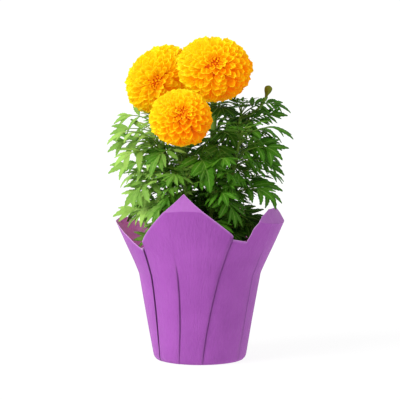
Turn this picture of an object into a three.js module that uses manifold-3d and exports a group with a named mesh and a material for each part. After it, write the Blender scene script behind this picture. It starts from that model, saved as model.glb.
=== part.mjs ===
// A potted marigold: three globe-shaped double blooms and one bud over a bush of pinnate leaves.
// It grows in a plastic nursery pot that stands in a pleated paper pot cover with four points.
// Millimetres, +Z up, origin at the centre of the cover's base. The front of the plant faces -Y,
// and a bearing is an angle seen from above: 0 is the front, 90 the right (+X), 180 the back.
import * as THREE from "three";
import { mergeVertices } from "three/addons/utils/BufferGeometryUtils.js";
import Module from "manifold-3d";

const wasm = await Module();
wasm.setup();

// ---- Driving dimensions ----

const clearance = 0.4; // between pieces that rest against each other
const seed = 139; // of the small irregularities

const cover = {
  baseRadius: 44.5, // where the wall meets the rounded base edge
  edgeRound: 4.5,
  bendHeight: 85, // the sheet turns outwards here, above the pot's rim
  bendRadius: 59.5,
  sheet: 0.9, // thickness of the paper as modelled
  pleatDepth: 0.9, // how far one panel stands over the next
  pleatReach: 125, // the height up to which the pleats slant
  pleatSlant: 1.3, // over 1, they slant more towards the top
  foldHalf: 0.7, // degrees that a fold's step takes to each side
  widestColumn: 13, // degrees
};

// The four corners of the sheet. flare and tipLean are angles from the vertical, outwards and inwards.
const points = [
  { bearing: -14, height: 167, creaseHeight: 151, flare: 11, tipLean: 30 },
  { bearing: 80, height: 151, creaseHeight: 135, flare: 24, tipLean: 28 },
  { bearing: 168, height: 160, creaseHeight: 144, flare: 15, tipLean: 24 },
  { bearing: 261, height: 143, creaseHeight: 134, flare: 25, tipLean: 55 },
];

// The lowest places of the top edge, between the corners.
const notches = [
  { bearing: 39, height: 121 },
  { bearing: 124, height: 118 },
  { bearing: 214, height: 115 },
  { bearing: 304, height: 111 },
];

// Folds of the wall: bearing at the top edge and at the base, and which side lies on top.
const pleats = [
  { top: 26, base: 3, upper: -1 },
  { top: 59, base: 57, upper: -1 },
  { top: 103, base: 97, upper: 1 },
  { top: 141, base: 146, upper: -1 },
  { top: 188, base: 184, upper: 1 },
  { top: 232, base: 229, upper: 1 },
  { top: 283, base: 276, upper: -1 },
  { top: 306, base: 299, upper: 1 },
  { top: 335, base: 333, upper: 1 },
];

const pot = {
  floorHeight: 1.4,
  baseRadius: 41.4,
  rimRadius: 56.6,
  rimHeight: 84,
  rimLip: 5,
  rimProud: 1.3,
  wall: 1.3,
  drainHoles: 5,
  drainRadius: 3.2,
  drainRing: 27,
  sides: 24,
};

const soil = { edgeHeight: 73, crown: 3, holeDepth: 26 };

const stem = { footRadius: 2.5, tipRadius: 1.4, sides: 5, segments: 5 };

const leaf = {
  thickness: 0.7,
  ribHalf: 1.1,
  firstPair: 0.25, // shares of the leaf's length
  lastPair: 0.56,
  terminal: 0.69,
  leafletReach: 0.38,
  leafletWidth: 0.33, // share of the leaflet's own length
  hang: 12, // degrees that the leaflets slope down to each side
};

// The leafy shoots stand in a ring. top is a shoot's distance from the middle and height at its tip.
const shoots = [
  { name: "leafy_shoot_front_right", bearing: 24, top: [35, 190], leafLength: 50 },
  { name: "leafy_shoot_right", bearing: 66, top: [42, 214], leafLength: 62 },
  { name: "leafy_shoot_right_back", bearing: 111, top: [43, 238], leafLength: 60, bud: true },
  { name: "leafy_shoot_back_right", bearing: 156, top: [36, 234], leafLength: 58 },
  { name: "leafy_shoot_back_left", bearing: 201, top: [36, 196], leafLength: 58 },
  { name: "leafy_shoot_left_back", bearing: 246, top: [42, 222], leafLength: 60 },
  { name: "leafy_shoot_left", bearing: 290, top: [42, 210], leafLength: 60 },
  { name: "leafy_shoot_front_left", bearing: 334, top: [34, 175], leafLength: 48 },
];
const ring = { footRadius: 17, midRadius: 22, midHeight: 122, firstLeafHeight: 96 };
const leavesPerShoot = 7;
const innerLeafLength = 36; // of the leaves on the flower stalks
const leafSpread = 11.5; // degrees to each side of the shoot's own bearing

const bud = { radius: 3.7, length: 12, stalkRadius: 1.1, tip: [66, 10, 264] };

// A bloom faces along `faces`; `centre` is the middle of its widest ring of petals. It is an oval,
// `radius` wide each way and that times `squash` high, and `turn` tilts the oval seen from the front.
const blooms = [
  { name: "right", centre: [14, -8, 283], faces: [0.03, -0.955, 0.29], radius: 38, squash: 0.87, turn: -8,
    foot: [6, 5], path: [[9, 10, 150], [13, 22, 215], [13.5, 27, 256]],
    leaves: [{ height: 160, bearing: 20 }, { height: 203, bearing: 43 }] },
  { name: "left", centre: [-40, 25, 271], faces: [-0.12, -0.97, 0.21], radius: 36.5, squash: 0.8, turn: 40,
    foot: [-8, 9], path: [[-12, 13, 150], [-22, 25, 205], [-33, 47, 241]],
    leaves: [{ height: 168, bearing: 299 }, { height: 200, bearing: 312 }] },
  { name: "front", centre: [-18, -45, 238], faces: [0.02, -0.94, 0.34], radius: 31, squash: 0.93, turn: 0,
    foot: [-3, -8], path: [[-8, -2, 150], [-15, 4, 195], [-18, -3, 219]],
    leaves: [{ height: 151, bearing: 16 }, { height: 182, bearing: 8 }] },
];

const head = {
  columns: 48, // vertices around the head
  petals: [8, 8, 12, 12, 16, 16, 16, 16], // in each ring, from the middle of the face
  firstRing: 12, // polar angles of the rings' roots, from the face
  lastRing: 112,
  coreShare: 0.76, // of the bloom's radius
  topShare: 0.52,
  underShare: 0.38,
  notch: 0.3, // how far the gaps between petals reach out, against their tips
};

const calyx = { lip: 10.5, depth: 17, wall: 1.2, neck: 3.2, cup: 6 };

// ---- Materials ----

const finish = (color, roughness) => new THREE.MeshStandardMaterial({ color, roughness, metalness: 0 });
const purplePaper = finish(0xa95cc0, 0.8);
const blackPlastic = finish(0x1d1d1f, 0.5);
const pottingSoil = finish(0x3a2a1e, 1.0);
const leafGreen = finish(0x4c7a1e, 0.6);
const stalkGreen = finish(0x5d8426, 0.6);
const petalOrange = finish(0xffb010, 0.65);

// ---- Small helpers ----

const rad = THREE.MathUtils.degToRad;
const lerp = THREE.MathUtils.lerp;
const clamp = THREE.MathUtils.clamp;
const UP = new THREE.Vector3(0, 0, 1);

const outward = (bearing) => new THREE.Vector3(Math.sin(rad(bearing)), -Math.cos(rad(bearing)), 0);
const polar = (bearing, radius, height) => outward(bearing).multiplyScalar(radius).setZ(height);

// The same small irregularity for the same pair of numbers, from -1 to 1.
function jitter(index, kind) {
  const s = Math.sin(index * 12.9898 + kind * 78.233 + seed) * 43758.5453;
  return 2 * (s - Math.floor(s)) - 1;
}

// A closed geometry as a solid that can be cut and joined.
function solid(geometry) {
  const bare = geometry.index ? geometry.toNonIndexed() : geometry.clone();
  bare.deleteAttribute("normal");
  bare.deleteAttribute("uv");
  const merged = mergeVertices(bare, 1e-3);
  return new wasm.Manifold(
    new wasm.Mesh({
      numProp: 3,
      vertProperties: merged.attributes.position.array,
      triVerts: new Uint32Array(merged.index.array),
    }),
  );
}

const joined = (solids) => wasm.Manifold.union(solids);

const largest = (made) => made.decompose().reduce((a, b) => (b.volume() > a.volume() ? b : a));

function geometryOf(body) {
  const { numProp, numVert, vertProperties, triVerts } = body.getMesh();
  const position = new Float32Array(numVert * 3);
  for (let i = 0; i < numVert; i++) {
    position.set(vertProperties.subarray(i * numProp, i * numProp + 3), i * 3);
  }
  const geometry = new THREE.BufferGeometry();
  geometry.setAttribute("position", new THREE.BufferAttribute(position, 3));
  geometry.setIndex(new THREE.BufferAttribute(triVerts, 1));
  return geometry;
}

// A solid as a named mesh, without the loose scraps that joining leaves, or that merging its
// nearest vertices then sets free.
function piece(name, made, material) {
  const geometry = geometryOf(largest(solid(geometryOf(largest(made)))));
  geometry.computeVertexNormals();
  const mesh = new THREE.Mesh(geometry, material);
  mesh.name = name;
  return mesh;
}

// Moves every vertex of a geometry through a function of its place.
function reshape(geometry, move) {
  const place = geometry.attributes.position;
  const v = new THREE.Vector3();
  for (let i = 0; i < place.count; i++) {
    v.fromBufferAttribute(place, i);
    const moved = move(v.clone());
    place.setXYZ(i, moved.x, moved.y, moved.z);
  }
  return geometry;
}

// A closed skin over rings of points, with a flat cap at each end. The faces after ring number
// `turnAt` are split the other way, so that both sides of a folded sheet are split alike.
function skin(rings, turnAt = rings.length) {
  const count = rings[0].length;
  const vertices = rings.flat();
  const middle = (points) => points.reduce((a, p) => a.add(p), new THREE.Vector3()).divideScalar(count);
  const first = vertices.push(middle(rings[0])) - 1;
  const last = vertices.push(middle(rings.at(-1))) - 1;
  const index = [];
  for (let j = 0; j < count; j++) {
    const k = (j + 1) % count;
    index.push(first, k, j);
    for (let i = 0; i + 1 < rings.length; i++) {
      const [a, b, c, d] = [i * count + j, i * count + k, (i + 1) * count + k, (i + 1) * count + j];
      if (i < turnAt) index.push(a, b, c, a, c, d);
      else index.push(a, b, d, b, c, d);
    }
    const base = (rings.length - 1) * count;
    index.push(last, base + j, base + k);
  }
  const geometry = new THREE.BufferGeometry().setFromPoints(vertices);
  geometry.setIndex(index);
  return geometry;
}

// A closed round rod along a curve. radiusAt gives its radius from the start, 0, to the end, 1.
function rod(curve, radiusAt, sides = stem.sides, segments = stem.segments) {
  const frames = curve.computeFrenetFrames(segments, false);
  const geometry = new THREE.CylinderGeometry(1, 1, 1, sides, segments);
  return reshape(geometry, (v) => {
    const t = clamp(v.y + 0.5, 0, 1);
    const k = Math.round(t * segments);
    const r = radiusAt(t);
    return curve
      .getPointAt(t)
      .addScaledVector(frames.normals[k], v.z * r)
      .addScaledVector(frames.binormals[k], v.x * r);
  });
}

// ---- Pot cover ----

// Shares of the four corners' values at a bearing, fading smoothly from one corner to the next.
function cornerValue(bearing, key) {
  let sum = 0;
  let weights = 0;
  for (const corner of points) {
    const away = Math.cos(rad(bearing - corner.bearing));
    const weight = Math.max(away, 0) ** 2 + 1e-6;
    sum += weight * corner[key];
    weights += weight;
  }
  return sum / weights;
}

const edgeStops = [...points, ...notches].sort((a, b) => a.bearing - b.bearing);

// Height of the cover's cut edge at a bearing: straight from each corner to the next notch.
function edgeHeight(bearing) {
  const turned = ((((bearing - edgeStops[0].bearing) % 360) + 360) % 360) + edgeStops[0].bearing;
  const after = edgeStops.findIndex((stop) => stop.bearing > turned);
  const a = edgeStops.at(after - 1);
  const b = after < 0 ? { ...edgeStops[0], bearing: edgeStops[0].bearing + 360 } : edgeStops[after];
  return lerp(a.height, b.height, (turned - a.bearing) / (b.bearing - a.bearing));
}

// Radius of the cover's outer face at a height and bearing, without its pleats.
function coverRadius(height, bearing) {
  if (height < cover.bendHeight) {
    return lerp(cover.baseRadius, cover.bendRadius, height / cover.bendHeight);
  }
  const crease = cornerValue(bearing, "creaseHeight");
  const flared = Math.min(height, crease) - cover.bendHeight;
  const leaning = Math.max(height - crease, 0);
  const flare = Math.tan(rad(cornerValue(bearing, "flare")));
  const lean = Math.tan(rad(cornerValue(bearing, "tipLean")));
  return cover.bendRadius + flared * flare - leaning * lean;
}

// The columns of the cover's wall, each with a bearing at its top and base and a step outwards.
// Between two folds all three run evenly, and a column stands at each corner and notch.
function coverColumns() {
  const folds = [];
  for (const { top, base, upper } of pleats) {
    folds.push({ top: top - cover.foldHalf, base: base - cover.foldHalf, step: upper < 0 ? 1 : 0 });
    folds.push({ top: top + cover.foldHalf, base: base + cover.foldHalf, step: upper < 0 ? 0 : 1 });
  }
  const columns = [];
  folds.forEach((fold, i) => {
    const turn = i + 1 < folds.length ? 0 : 360;
    const next = folds[(i + 1) % folds.length];
    const end = { ...next, top: next.top + turn, base: next.base + turn };
    const marks = edgeStops
      .map(({ bearing }) => (bearing < fold.top ? bearing + 360 : bearing))
      .filter((bearing) => bearing < end.top)
      .sort((a, b) => a - b);
    [fold.top, ...marks].forEach((from, k) => {
      const to = marks[k] ?? end.top;
      const parts = Math.ceil((to - from) / cover.widestColumn);
      for (let n = 0; n < parts; n++) {
        const top = lerp(from, to, n / parts);
        const share = (top - fold.top) / (end.top - fold.top);
        columns.push({ top, base: lerp(fold.base, end.base, share), step: lerp(fold.step, end.step, share) });
      }
    });
  });
  return columns;
}

function potCover() {
  const columns = coverColumns();
  const { baseRadius, edgeRound, bendHeight, sheet, pleatDepth, pleatReach, pleatSlant } = cover;
  const at = (column, height) =>
    lerp(column.base, column.top, clamp(height / pleatReach, 0, 1) ** pleatSlant);
  const ringAt = (heightOf, inset, pleat) =>
    columns.map((column) => {
      const height = heightOf(column);
      const bearing = at(column, height);
      return polar(bearing, coverRadius(height, bearing) + column.step * pleat - inset, height);
    });
  const flat = (radius, height) => columns.map((column) => polar(at(column, height), radius, height));
  const top = (column) => edgeHeight(column.top);
  const crease = (column) => {
    const justBelowEdge = lerp(bendHeight, top(column), 0.93);
    return Math.min(cornerValue(column.top, "creaseHeight"), justBelowEdge);
  };
  const outside = [
    flat(baseRadius - 0.6 * edgeRound, 0),
    ringAt(() => edgeRound, 0, 0),
    ringAt(() => bendHeight * 0.45, 0, pleatDepth),
    ringAt(() => bendHeight, 0, pleatDepth),
    ringAt(crease, 0, pleatDepth),
    ringAt(top, 0, pleatDepth),
  ];
  const inside = [
    ringAt(top, sheet, pleatDepth),
    ringAt(crease, sheet, pleatDepth),
    ringAt(() => bendHeight, sheet, 0),
    ringAt(() => edgeRound, sheet, 0),
    flat(baseRadius - edgeRound / 2, sheet),
  ];
  const foldedSheet = skin([...outside, ...inside], outside.length);
  return piece("pot_cover", solid(foldedSheet), purplePaper);
}

// ---- Nursery pot and soil ----

function nurseryPot() {
  const { floorHeight, baseRadius, rimRadius, rimHeight, rimLip, rimProud, wall } = pot;
  const profile = [
    [0, floorHeight],
    [baseRadius, floorHeight],
    [rimRadius - rimProud, rimHeight - rimLip],
    [rimRadius, rimHeight - rimLip],
    [rimRadius, rimHeight],
    [rimRadius - rimProud - wall, rimHeight],
    [baseRadius - wall, floorHeight + wall],
    [0, floorHeight + wall],
  ].map(([r, h]) => new THREE.Vector2(r, h));
  const shell = solid(new THREE.LatheGeometry(profile, pot.sides).rotateX(Math.PI / 2));
  const holes = [];
  for (let i = 0; i < pot.drainHoles; i++) {
    const hole = new THREE.CylinderGeometry(pot.drainRadius, pot.drainRadius, 4 * wall, 8);
    hole.rotateX(Math.PI / 2);
    const { x, y } = polar((360 * i) / pot.drainHoles, pot.drainRing, 0);
    holes.push(solid(hole.translate(x, y, floorHeight)));
  }
  return piece("nursery_pot", shell.subtract(joined(holes)), blackPlastic);
}

function innerPotRadius(height) {
  const { floorHeight, baseRadius, rimRadius, rimHeight, rimProud, wall } = pot;
  const climb = (height - floorHeight - wall) / (rimHeight - floorHeight - wall);
  return lerp(baseRadius, rimRadius - rimProud, climb) - wall;
}

function rootBall(feet) {
  const base = pot.floorHeight + pot.wall + clearance;
  const { edgeHeight: edge, crown } = soil;
  const profile = [
    [0, base],
    [innerPotRadius(base) - clearance, base],
    [innerPotRadius(edge) - clearance, edge],
    [innerPotRadius(edge) * 0.6, edge + crown * 0.8],
    [0, edge + crown],
  ].map(([r, h]) => new THREE.Vector2(r, h));
  const ball = solid(new THREE.LatheGeometry(profile, pot.sides).rotateX(Math.PI / 2));
  const holes = feet.map(([x, y, radius]) => {
    const across = (radius + clearance) / Math.cos(Math.PI / 6); // a hexagon's corners
    const hole = new THREE.CylinderGeometry(across, across, 2 * soil.holeDepth, 6).rotateX(Math.PI / 2);
    return solid(hole.translate(x, y, edge + crown));
  });
  return piece("soil", ball.subtract(joined(holes)), pottingSoil);
}

const holeFloor = soil.edgeHeight + soil.crown - soil.holeDepth;

// ---- Leaves ----

// The outline of a pinnate leaf laid flat along +X: a rib, leaflets in pairs and one at the end.
// It runs from the leaf's root along its +Y side to the tip, and back along the other side.
function leafOutline(length, pairs) {
  const { ribHalf, firstPair, lastPair, terminal, leafletReach, leafletWidth } = leaf;
  const side = [[0, ribHalf * 1.2]];
  for (let k = 0; k < pairs; k++) {
    const root = length * lerp(firstPair, lastPair, k / (pairs - 1));
    const reach = length * leafletReach * (1 - 0.08 * (k - 0.8) ** 2);
    const angle = rad(60 - 8 * k);
    const half = reach * leafletWidth * 0.75;
    const along = (share, off) => [
      root + reach * share * Math.cos(angle) + off * Math.sin(angle),
      ribHalf + reach * share * Math.sin(angle) - off * Math.cos(angle),
    ];
    side.push([root - 1.5, ribHalf], along(0.4, -half), along(1, half * 0.3), [root + 1.5, ribHalf]);
  }
  const last = length * terminal;
  side.push([last, ribHalf * 0.8], [lerp(last, length, 0.42), (length - last) * leafletWidth * 0.5]);
  const mirrored = side.map(([x, y]) => [x, -y]).reverse();
  return [...side, [length, 0], ...mirrored];
}

// The leaf's faces, by the numbers of its outline's points. Each is short along the leaf, so that
// both sides of a bent blade follow its arc alike.
function leafFaces(pairs) {
  const tip = 4 * pairs + 3;
  const across = (i) => 2 * tip - i;
  const stations = [0];
  const faces = [];
  for (let a = 1; a < tip - 2; a += 4) {
    const [b, c, d] = [a + 1, a + 2, a + 3];
    stations.push(a, d);
    faces.push([a, d, b], [b, d, c]);
    faces.push([across(a), across(b), across(d)], [across(b), across(c), across(d)]);
  }
  stations.push(tip - 2, tip - 1);
  stations.slice(1).forEach((q, n) => {
    const p = stations[n];
    faces.push([p, across(p), across(q)], [p, across(q), q]);
  });
  faces.push([tip - 1, across(tip - 1), tip]);
  return faces;
}

// A leaf that springs from `base`, rises at the angle `from` and arches over to the angle `to`.
function leafBlade({ base, bearing, length, pairs, from, to, roll }) {
  const out = outward(bearing);
  const curl = (rad(to) - rad(from)) / length;
  const hang = rad(leaf.hang);
  const bent = ([x, y], lift) => {
    const angle = rad(from) + curl * x;
    const along = out.clone().multiplyScalar(Math.cos(angle)).addScaledVector(UP, Math.sin(angle));
    const normal = out.clone().multiplyScalar(-Math.sin(angle)).addScaledVector(UP, Math.cos(angle));
    const across = normal.clone().cross(along).applyAxisAngle(along, rad(roll));
    normal.applyAxisAngle(along, rad(roll));
    return base
      .clone()
      .addScaledVector(out, (Math.sin(angle) - Math.sin(rad(from))) / curl)
      .addScaledVector(UP, (Math.cos(rad(from)) - Math.cos(angle)) / curl)
      .addScaledVector(across, y * Math.cos(hang))
      .addScaledVector(normal, lift - Math.abs(y) * Math.sin(hang));
  };
  const outline = leafOutline(length, pairs);
  const count = outline.length;
  const upper = outline.map((point) => bent(point, leaf.thickness / 2));
  const lower = outline.map((point) => bent(point, -leaf.thickness / 2));
  const index = [];
  for (const [a, b, c] of leafFaces(pairs)) index.push(a, b, c, count + a, count + c, count + b);
  for (let i = 0; i < count; i++) {
    const j = (i + 1) % count;
    index.push(i, j, count + j, i, count + j, count + i);
  }
  const blade = new THREE.BufferGeometry().setFromPoints([...upper, ...lower]);
  blade.setIndex(index);
  return blade;
}

// The leaves of shoot number `k`, to both sides in turn. The lowest stay short, inside the cover.
function shootLeaves(shoot, k, curve) {
  const leaves = [];
  const [, topHeight] = shoot.top;
  for (let j = 0; j < leavesPerShoot; j++) {
    const n = k * 10 + j;
    const side = (j + k) % 2 ? 1 : -1;
    const climb = j / (leavesPerShoot - 1);
    const height = lerp(ring.firstLeafHeight, topHeight - 3, climb);
    const low = j < 2;
    leaves.push({
      base: curve.getPointAt(pointAtHeight(curve, height)),
      bearing: shoot.bearing + side * leafSpread * (1 - 0.5 * climb) + 3 * jitter(n, 1),
      length: shoot.leafLength * (low ? 0.66 : 1) + 3 * jitter(n, 2),
      pairs: low ? 2 : 3,
      from: lerp(52, 58, climb) + 4 * jitter(n, 3),
      to: (low ? -30 : lerp(-66, -40, climb)) + 7 * jitter(n, 4),
      roll: -side * (18 + 8 * jitter(n, 5)),
    });
  }
  return leaves;
}

// How far along a rising curve, from 0 to 1, it reaches a height.
function pointAtHeight(curve, height) {
  let low = 0;
  let high = 1;
  for (let i = 0; i < 20; i++) {
    const middle = (low + high) / 2;
    if (curve.getPointAt(middle).z < height) low = middle;
    else high = middle;
  }
  return low;
}

// ---- Shoots, bud and flower stalks ----

const taper = (from, to) => (t) => lerp(from, to, t);

function shootCurve(shoot) {
  const [topRadius, topHeight] = shoot.top;
  const foot = polar(shoot.bearing, ring.footRadius, holeFloor + clearance);
  return new THREE.CatmullRomCurve3([
    foot,
    foot.clone().setZ(soil.edgeHeight + soil.crown),
    polar(shoot.bearing, ring.midRadius, ring.midHeight),
    polar(shoot.bearing, topRadius, topHeight),
  ]);
}

// A closed green bud on a thin stalk that leans out from a shoot.
function budOnStalk(from) {
  const tip = new THREE.Vector3(...bud.tip);
  const lean = tip.clone().sub(from);
  const axis = new THREE.Vector3(lean.x * 0.35, lean.y * 0.35, lean.z).normalize();
  const neck = tip.clone().addScaledVector(axis, -bud.length);
  const stalk = new THREE.QuadraticBezierCurve3(
    from.clone(),
    neck.clone().addScaledVector(axis, -0.35 * lean.length()),
    neck.clone().addScaledVector(axis, 1),
  );
  const profile = [
    [0, 0],
    [bud.stalkRadius * 1.2, 0],
    [bud.radius * 0.72, bud.length * 0.35],
    [bud.radius, bud.length * 0.66],
    [bud.radius * 0.74, bud.length * 0.9],
    [0, bud.length],
  ].map(([r, h]) => new THREE.Vector2(r, h));
  const knob = new THREE.LatheGeometry(profile, 10);
  knob.applyQuaternion(new THREE.Quaternion().setFromUnitVectors(new THREE.Vector3(0, 1, 0), axis));
  knob.translate(neck.x, neck.y, neck.z);
  return [solid(rod(stalk, taper(bud.stalkRadius * 1.3, bud.stalkRadius))), solid(knob)];
}

function leafyShoot(shoot, k) {
  const curve = shootCurve(shoot);
  const parts = [solid(rod(curve, taper(stem.footRadius, stem.tipRadius)))];
  for (const made of shootLeaves(shoot, k, curve)) parts.push(solid(leafBlade(made)));
  if (shoot.bud) parts.push(...budOnStalk(curve.getPointAt(0.97)));
  return piece(shoot.name, joined(parts), leafGreen);
}

const turnedTo = (axis) => new THREE.Quaternion().setFromUnitVectors(UP, axis);

// The centre of the calyx's lip, behind the bloom.
function lipOf(bloom) {
  const axis = new THREE.Vector3(...bloom.faces).normalize();
  const under = bloom.radius * head.underShare;
  return { axis, lip: new THREE.Vector3(...bloom.centre).addScaledVector(axis, -under) };
}

// A green stalk that ends in the cup that holds the petals.
function flowerStalk(bloom) {
  const { axis, lip } = lipOf(bloom);
  const { depth, wall, neck, cup } = calyx;
  const foot = new THREE.Vector3(...bloom.foot, holeFloor + clearance);
  const end = lip.clone().addScaledVector(axis, -depth + 1);
  const curve = new THREE.CatmullRomCurve3([
    foot,
    foot.clone().setZ(soil.edgeHeight + soil.crown),
    ...bloom.path.map((p) => new THREE.Vector3(...p)),
    end,
  ]);
  const profile = [
    [0, -depth],
    [neck, -depth],
    [calyx.lip * 0.72, -depth * 0.68],
    [calyx.lip * 0.97, -depth * 0.3],
    [calyx.lip, 0],
    [calyx.lip - wall, 0],
    [calyx.lip - 3 * wall, -cup * 0.8],
    [0, -cup],
  ].map(([r, h]) => new THREE.Vector2(r, h));
  const cupShape = new THREE.LatheGeometry(profile, 12).rotateX(Math.PI / 2);
  cupShape.applyQuaternion(turnedTo(axis)).translate(lip.x, lip.y, lip.z);
  const swelling = (t) => lerp(stem.footRadius, neck, t ** 2);
  const shapes = [rod(curve, swelling, stem.sides + 1, 2 * stem.segments - 1), cupShape];
  for (const { height, bearing } of bloom.leaves) {
    const base = curve.getPointAt(pointAtHeight(curve, height));
    shapes.push(leafBlade({ base, bearing, length: innerLeafLength, pairs: 2, from: 50, to: -50, roll: 0 }));
  }
  return piece(`flower_stalk_${bloom.name}`, joined(shapes.map(solid)), stalkGreen);
}

// ---- Petals ----

const spokes = Array.from({ length: head.columns }, (_, j) => {
  const turn = (2 * Math.PI * j) / head.columns;
  return new THREE.Vector3(Math.cos(turn), Math.sin(turn), 0);
});

// The rings of one head of `radius`, from its underside to its face. The face looks along +Z and
// the middle of the widest ring is the origin. Each ring's petals lie like shingles over the next.
function petalRings(radius) {
  const { columns, petals, firstRing, lastRing, coreShare, topShare, underShare, notch } = head;
  const rings = [];
  petals.forEach((count, k) => {
    const polarAngle = rad(lerp(firstRing, lastRing, k / (petals.length - 1)));
    const [sin, cos] = [Math.sin(polarAngle), Math.cos(polarAngle)];
    const a = radius * coreShare;
    const c = radius * (cos > 0 ? topShare : underShare * 0.8);
    const reach = radius * lerp(0.14, 0.36, sin);
    const rise = radius * lerp(0.1, 0.15, sin);
    const shift = k % 2 ? Math.floor(columns / count / 2) : 0;
    const vertex = (spoke, out, up) => {
      const normal = spoke.clone().multiplyScalar(sin / a).setZ(cos / c).normalize();
      const away = new THREE.Vector3(-spoke.y, spoke.x, 0).cross(normal);
      const seat = spoke.clone().multiplyScalar(a * sin).setZ(c * cos);
      return seat.addScaledVector(normal, up).addScaledVector(away, out);
    };
    const tips = spokes.map((spoke, j) => {
      const across = (((j + shift) * count) / columns) % 1;
      const lobe = lerp(notch, 1, Math.sqrt(Math.sin(Math.PI * across)));
      return vertex(spoke, reach * lobe, rise * lobe);
    });
    const roots = spokes.map((spoke) => vertex(spoke, 0, 0));
    rings.push(tips, roots);
  });
  return rings.reverse();
}

function bloomHead(bloom) {
  const { axis, lip } = lipOf(bloom);
  const { radius, squash, turn } = bloom;
  const under = radius * head.underShare;
  const seatRadius = calyx.lip - calyx.wall - clearance;
  const circle = (r, height) => spokes.map((spoke) => spoke.clone().multiplyScalar(r).setZ(height - under));
  const seat = [
    circle(seatRadius - 2 * calyx.wall, -calyx.cup * 0.8 + clearance),
    circle(seatRadius, clearance),
  ];
  const shape = skin([...seat, ...petalRings(radius)])
    .scale(1, squash, 1)
    .rotateZ(rad(turn))
    .translate(0, 0, under)
    .applyQuaternion(turnedTo(axis))
    .translate(lip.x, lip.y, lip.z);
  return piece(`bloom_${bloom.name}`, solid(shape), petalOrange);
}

// ---- Assembly ----

const feet = [
  ...shoots.map(({ bearing }) => {
    const { x, y } = polar(bearing, ring.footRadius, 0);
    return [x, y, stem.footRadius];
  }),
  ...blooms.map(({ foot: [x, y] }) => [x, y, stem.footRadius]),
];

const plant = new THREE.Group();
plant.add(...shoots.map(leafyShoot));
for (const bloom of blooms) plant.add(flowerStalk(bloom), bloomHead(bloom));

const pottedMarigold = new THREE.Group();
pottedMarigold.add(potCover(), nurseryPot(), rootBall(feet), plant);

export default pottedMarigold;
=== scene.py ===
import math

import bpy
import numpy as np
from mathutils import Matrix, Vector, noise


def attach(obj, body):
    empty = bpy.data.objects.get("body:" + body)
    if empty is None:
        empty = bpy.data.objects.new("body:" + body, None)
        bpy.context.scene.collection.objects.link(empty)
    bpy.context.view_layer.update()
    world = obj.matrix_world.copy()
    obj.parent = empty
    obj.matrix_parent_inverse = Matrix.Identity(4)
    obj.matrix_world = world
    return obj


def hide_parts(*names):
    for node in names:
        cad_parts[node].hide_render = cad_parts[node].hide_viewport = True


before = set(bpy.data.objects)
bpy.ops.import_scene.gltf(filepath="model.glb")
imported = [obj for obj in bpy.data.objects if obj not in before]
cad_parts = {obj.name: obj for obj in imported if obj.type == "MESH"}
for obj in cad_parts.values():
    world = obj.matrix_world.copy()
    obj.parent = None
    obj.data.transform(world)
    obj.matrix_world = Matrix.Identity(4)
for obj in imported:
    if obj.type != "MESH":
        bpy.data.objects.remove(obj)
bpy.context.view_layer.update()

mm = 0.001
seed = 139  # of the small irregularities, the same as in the solids
up = np.array([0.0, 0.0, 1.0])


def lerp(a, b, share):
    return a + (b - a) * share


def clamp(value, low=0.0, high=1.0):
    return max(low, min(high, value))


def smooth(value):
    value = clamp(value)
    return value * value * (3 - 2 * value)


def unit(vector):
    return vector / np.linalg.norm(vector)


def jitter(index, kind):  # the same small irregularity for the same pair of numbers, -1 to 1
    s = math.sin(index * 12.9898 + kind * 78.233 + seed) * 43758.5453
    return 2 * (s - math.floor(s)) - 1


def outward(bearing):  # 0 is the front, 90 the right
    angle = math.radians(bearing)
    return np.array([math.sin(angle), -math.cos(angle), 0.0])


def polar(bearing, radius, height):
    return outward(bearing) * radius + up * height


def turnTo(axis):  # the matrix that leans +Z over to an axis
    return np.array(Vector((0, 0, 1)).rotation_difference(Vector(axis)).to_matrix())


def linked(name, data):
    made = bpy.data.objects.new(name, data)
    bpy.context.scene.collection.objects.link(made)
    return made


def onlyActive(piece):
    bpy.ops.object.select_all(action="DESELECT")
    piece.select_set(True)
    bpy.context.view_layer.objects.active = piece


def applyModifiers(piece):
    onlyActive(piece)
    for modifier in list(piece.modifiers):
        bpy.ops.object.modifier_apply(modifier=modifier.name)


def primitive(add, **settings):  # a new primitive, with its place in its mesh
    bpy.ops.object.select_all(action="DESELECT")
    add(**settings)
    piece = bpy.context.object
    onlyActive(piece)
    bpy.ops.object.transform_apply(location=True, rotation=True, scale=True)
    return piece


def cutCylinder(sides, radius, top, cuts, ends="NOTHING"):
    # an upright cylinder from the ground to its top, cut across at some heights
    piece = primitive(bpy.ops.mesh.primitive_cylinder_add, vertices=sides, radius=radius, depth=top,
                      end_fill_type=ends, location=(0, 0, top / 2))
    bpy.ops.object.mode_set(mode="EDIT")
    for height in cuts:
        bpy.ops.mesh.select_all(action="SELECT")
        bpy.ops.mesh.bisect(plane_co=(0, 0, height), plane_no=(0, 0, 1))
    bpy.ops.object.mode_set(mode="OBJECT")
    return piece


def spun(name, profile, sides):
    # a profile of radius and height, from axis to axis, spun round the Z axis
    mesh = bpy.data.meshes.new(name)
    edges = [(i, i + 1) for i in range(len(profile) - 1)]
    mesh.from_pydata([(r * mm, 0, h * mm) for r, h in profile], edges, [])
    piece = linked(name, mesh)
    onlyActive(piece)
    bpy.ops.object.mode_set(mode="EDIT")
    bpy.ops.mesh.select_all(action="SELECT")
    bpy.ops.mesh.spin(steps=sides, angle=2 * math.pi, center=(0, 0, 0), axis=(0, 0, 1))
    bpy.ops.mesh.select_all(action="SELECT")
    bpy.ops.mesh.remove_doubles(threshold=1e-6)
    bpy.ops.mesh.normals_make_consistent(inside=False)
    bpy.ops.object.mode_set(mode="OBJECT")
    return piece


def thicken(piece, thickness, offset=0.0, slots=0):
    blade = piece.modifiers.new("blade", "SOLIDIFY")
    blade.thickness = thickness
    blade.offset = offset
    blade.material_offset = slots
    applyModifiers(piece)


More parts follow.
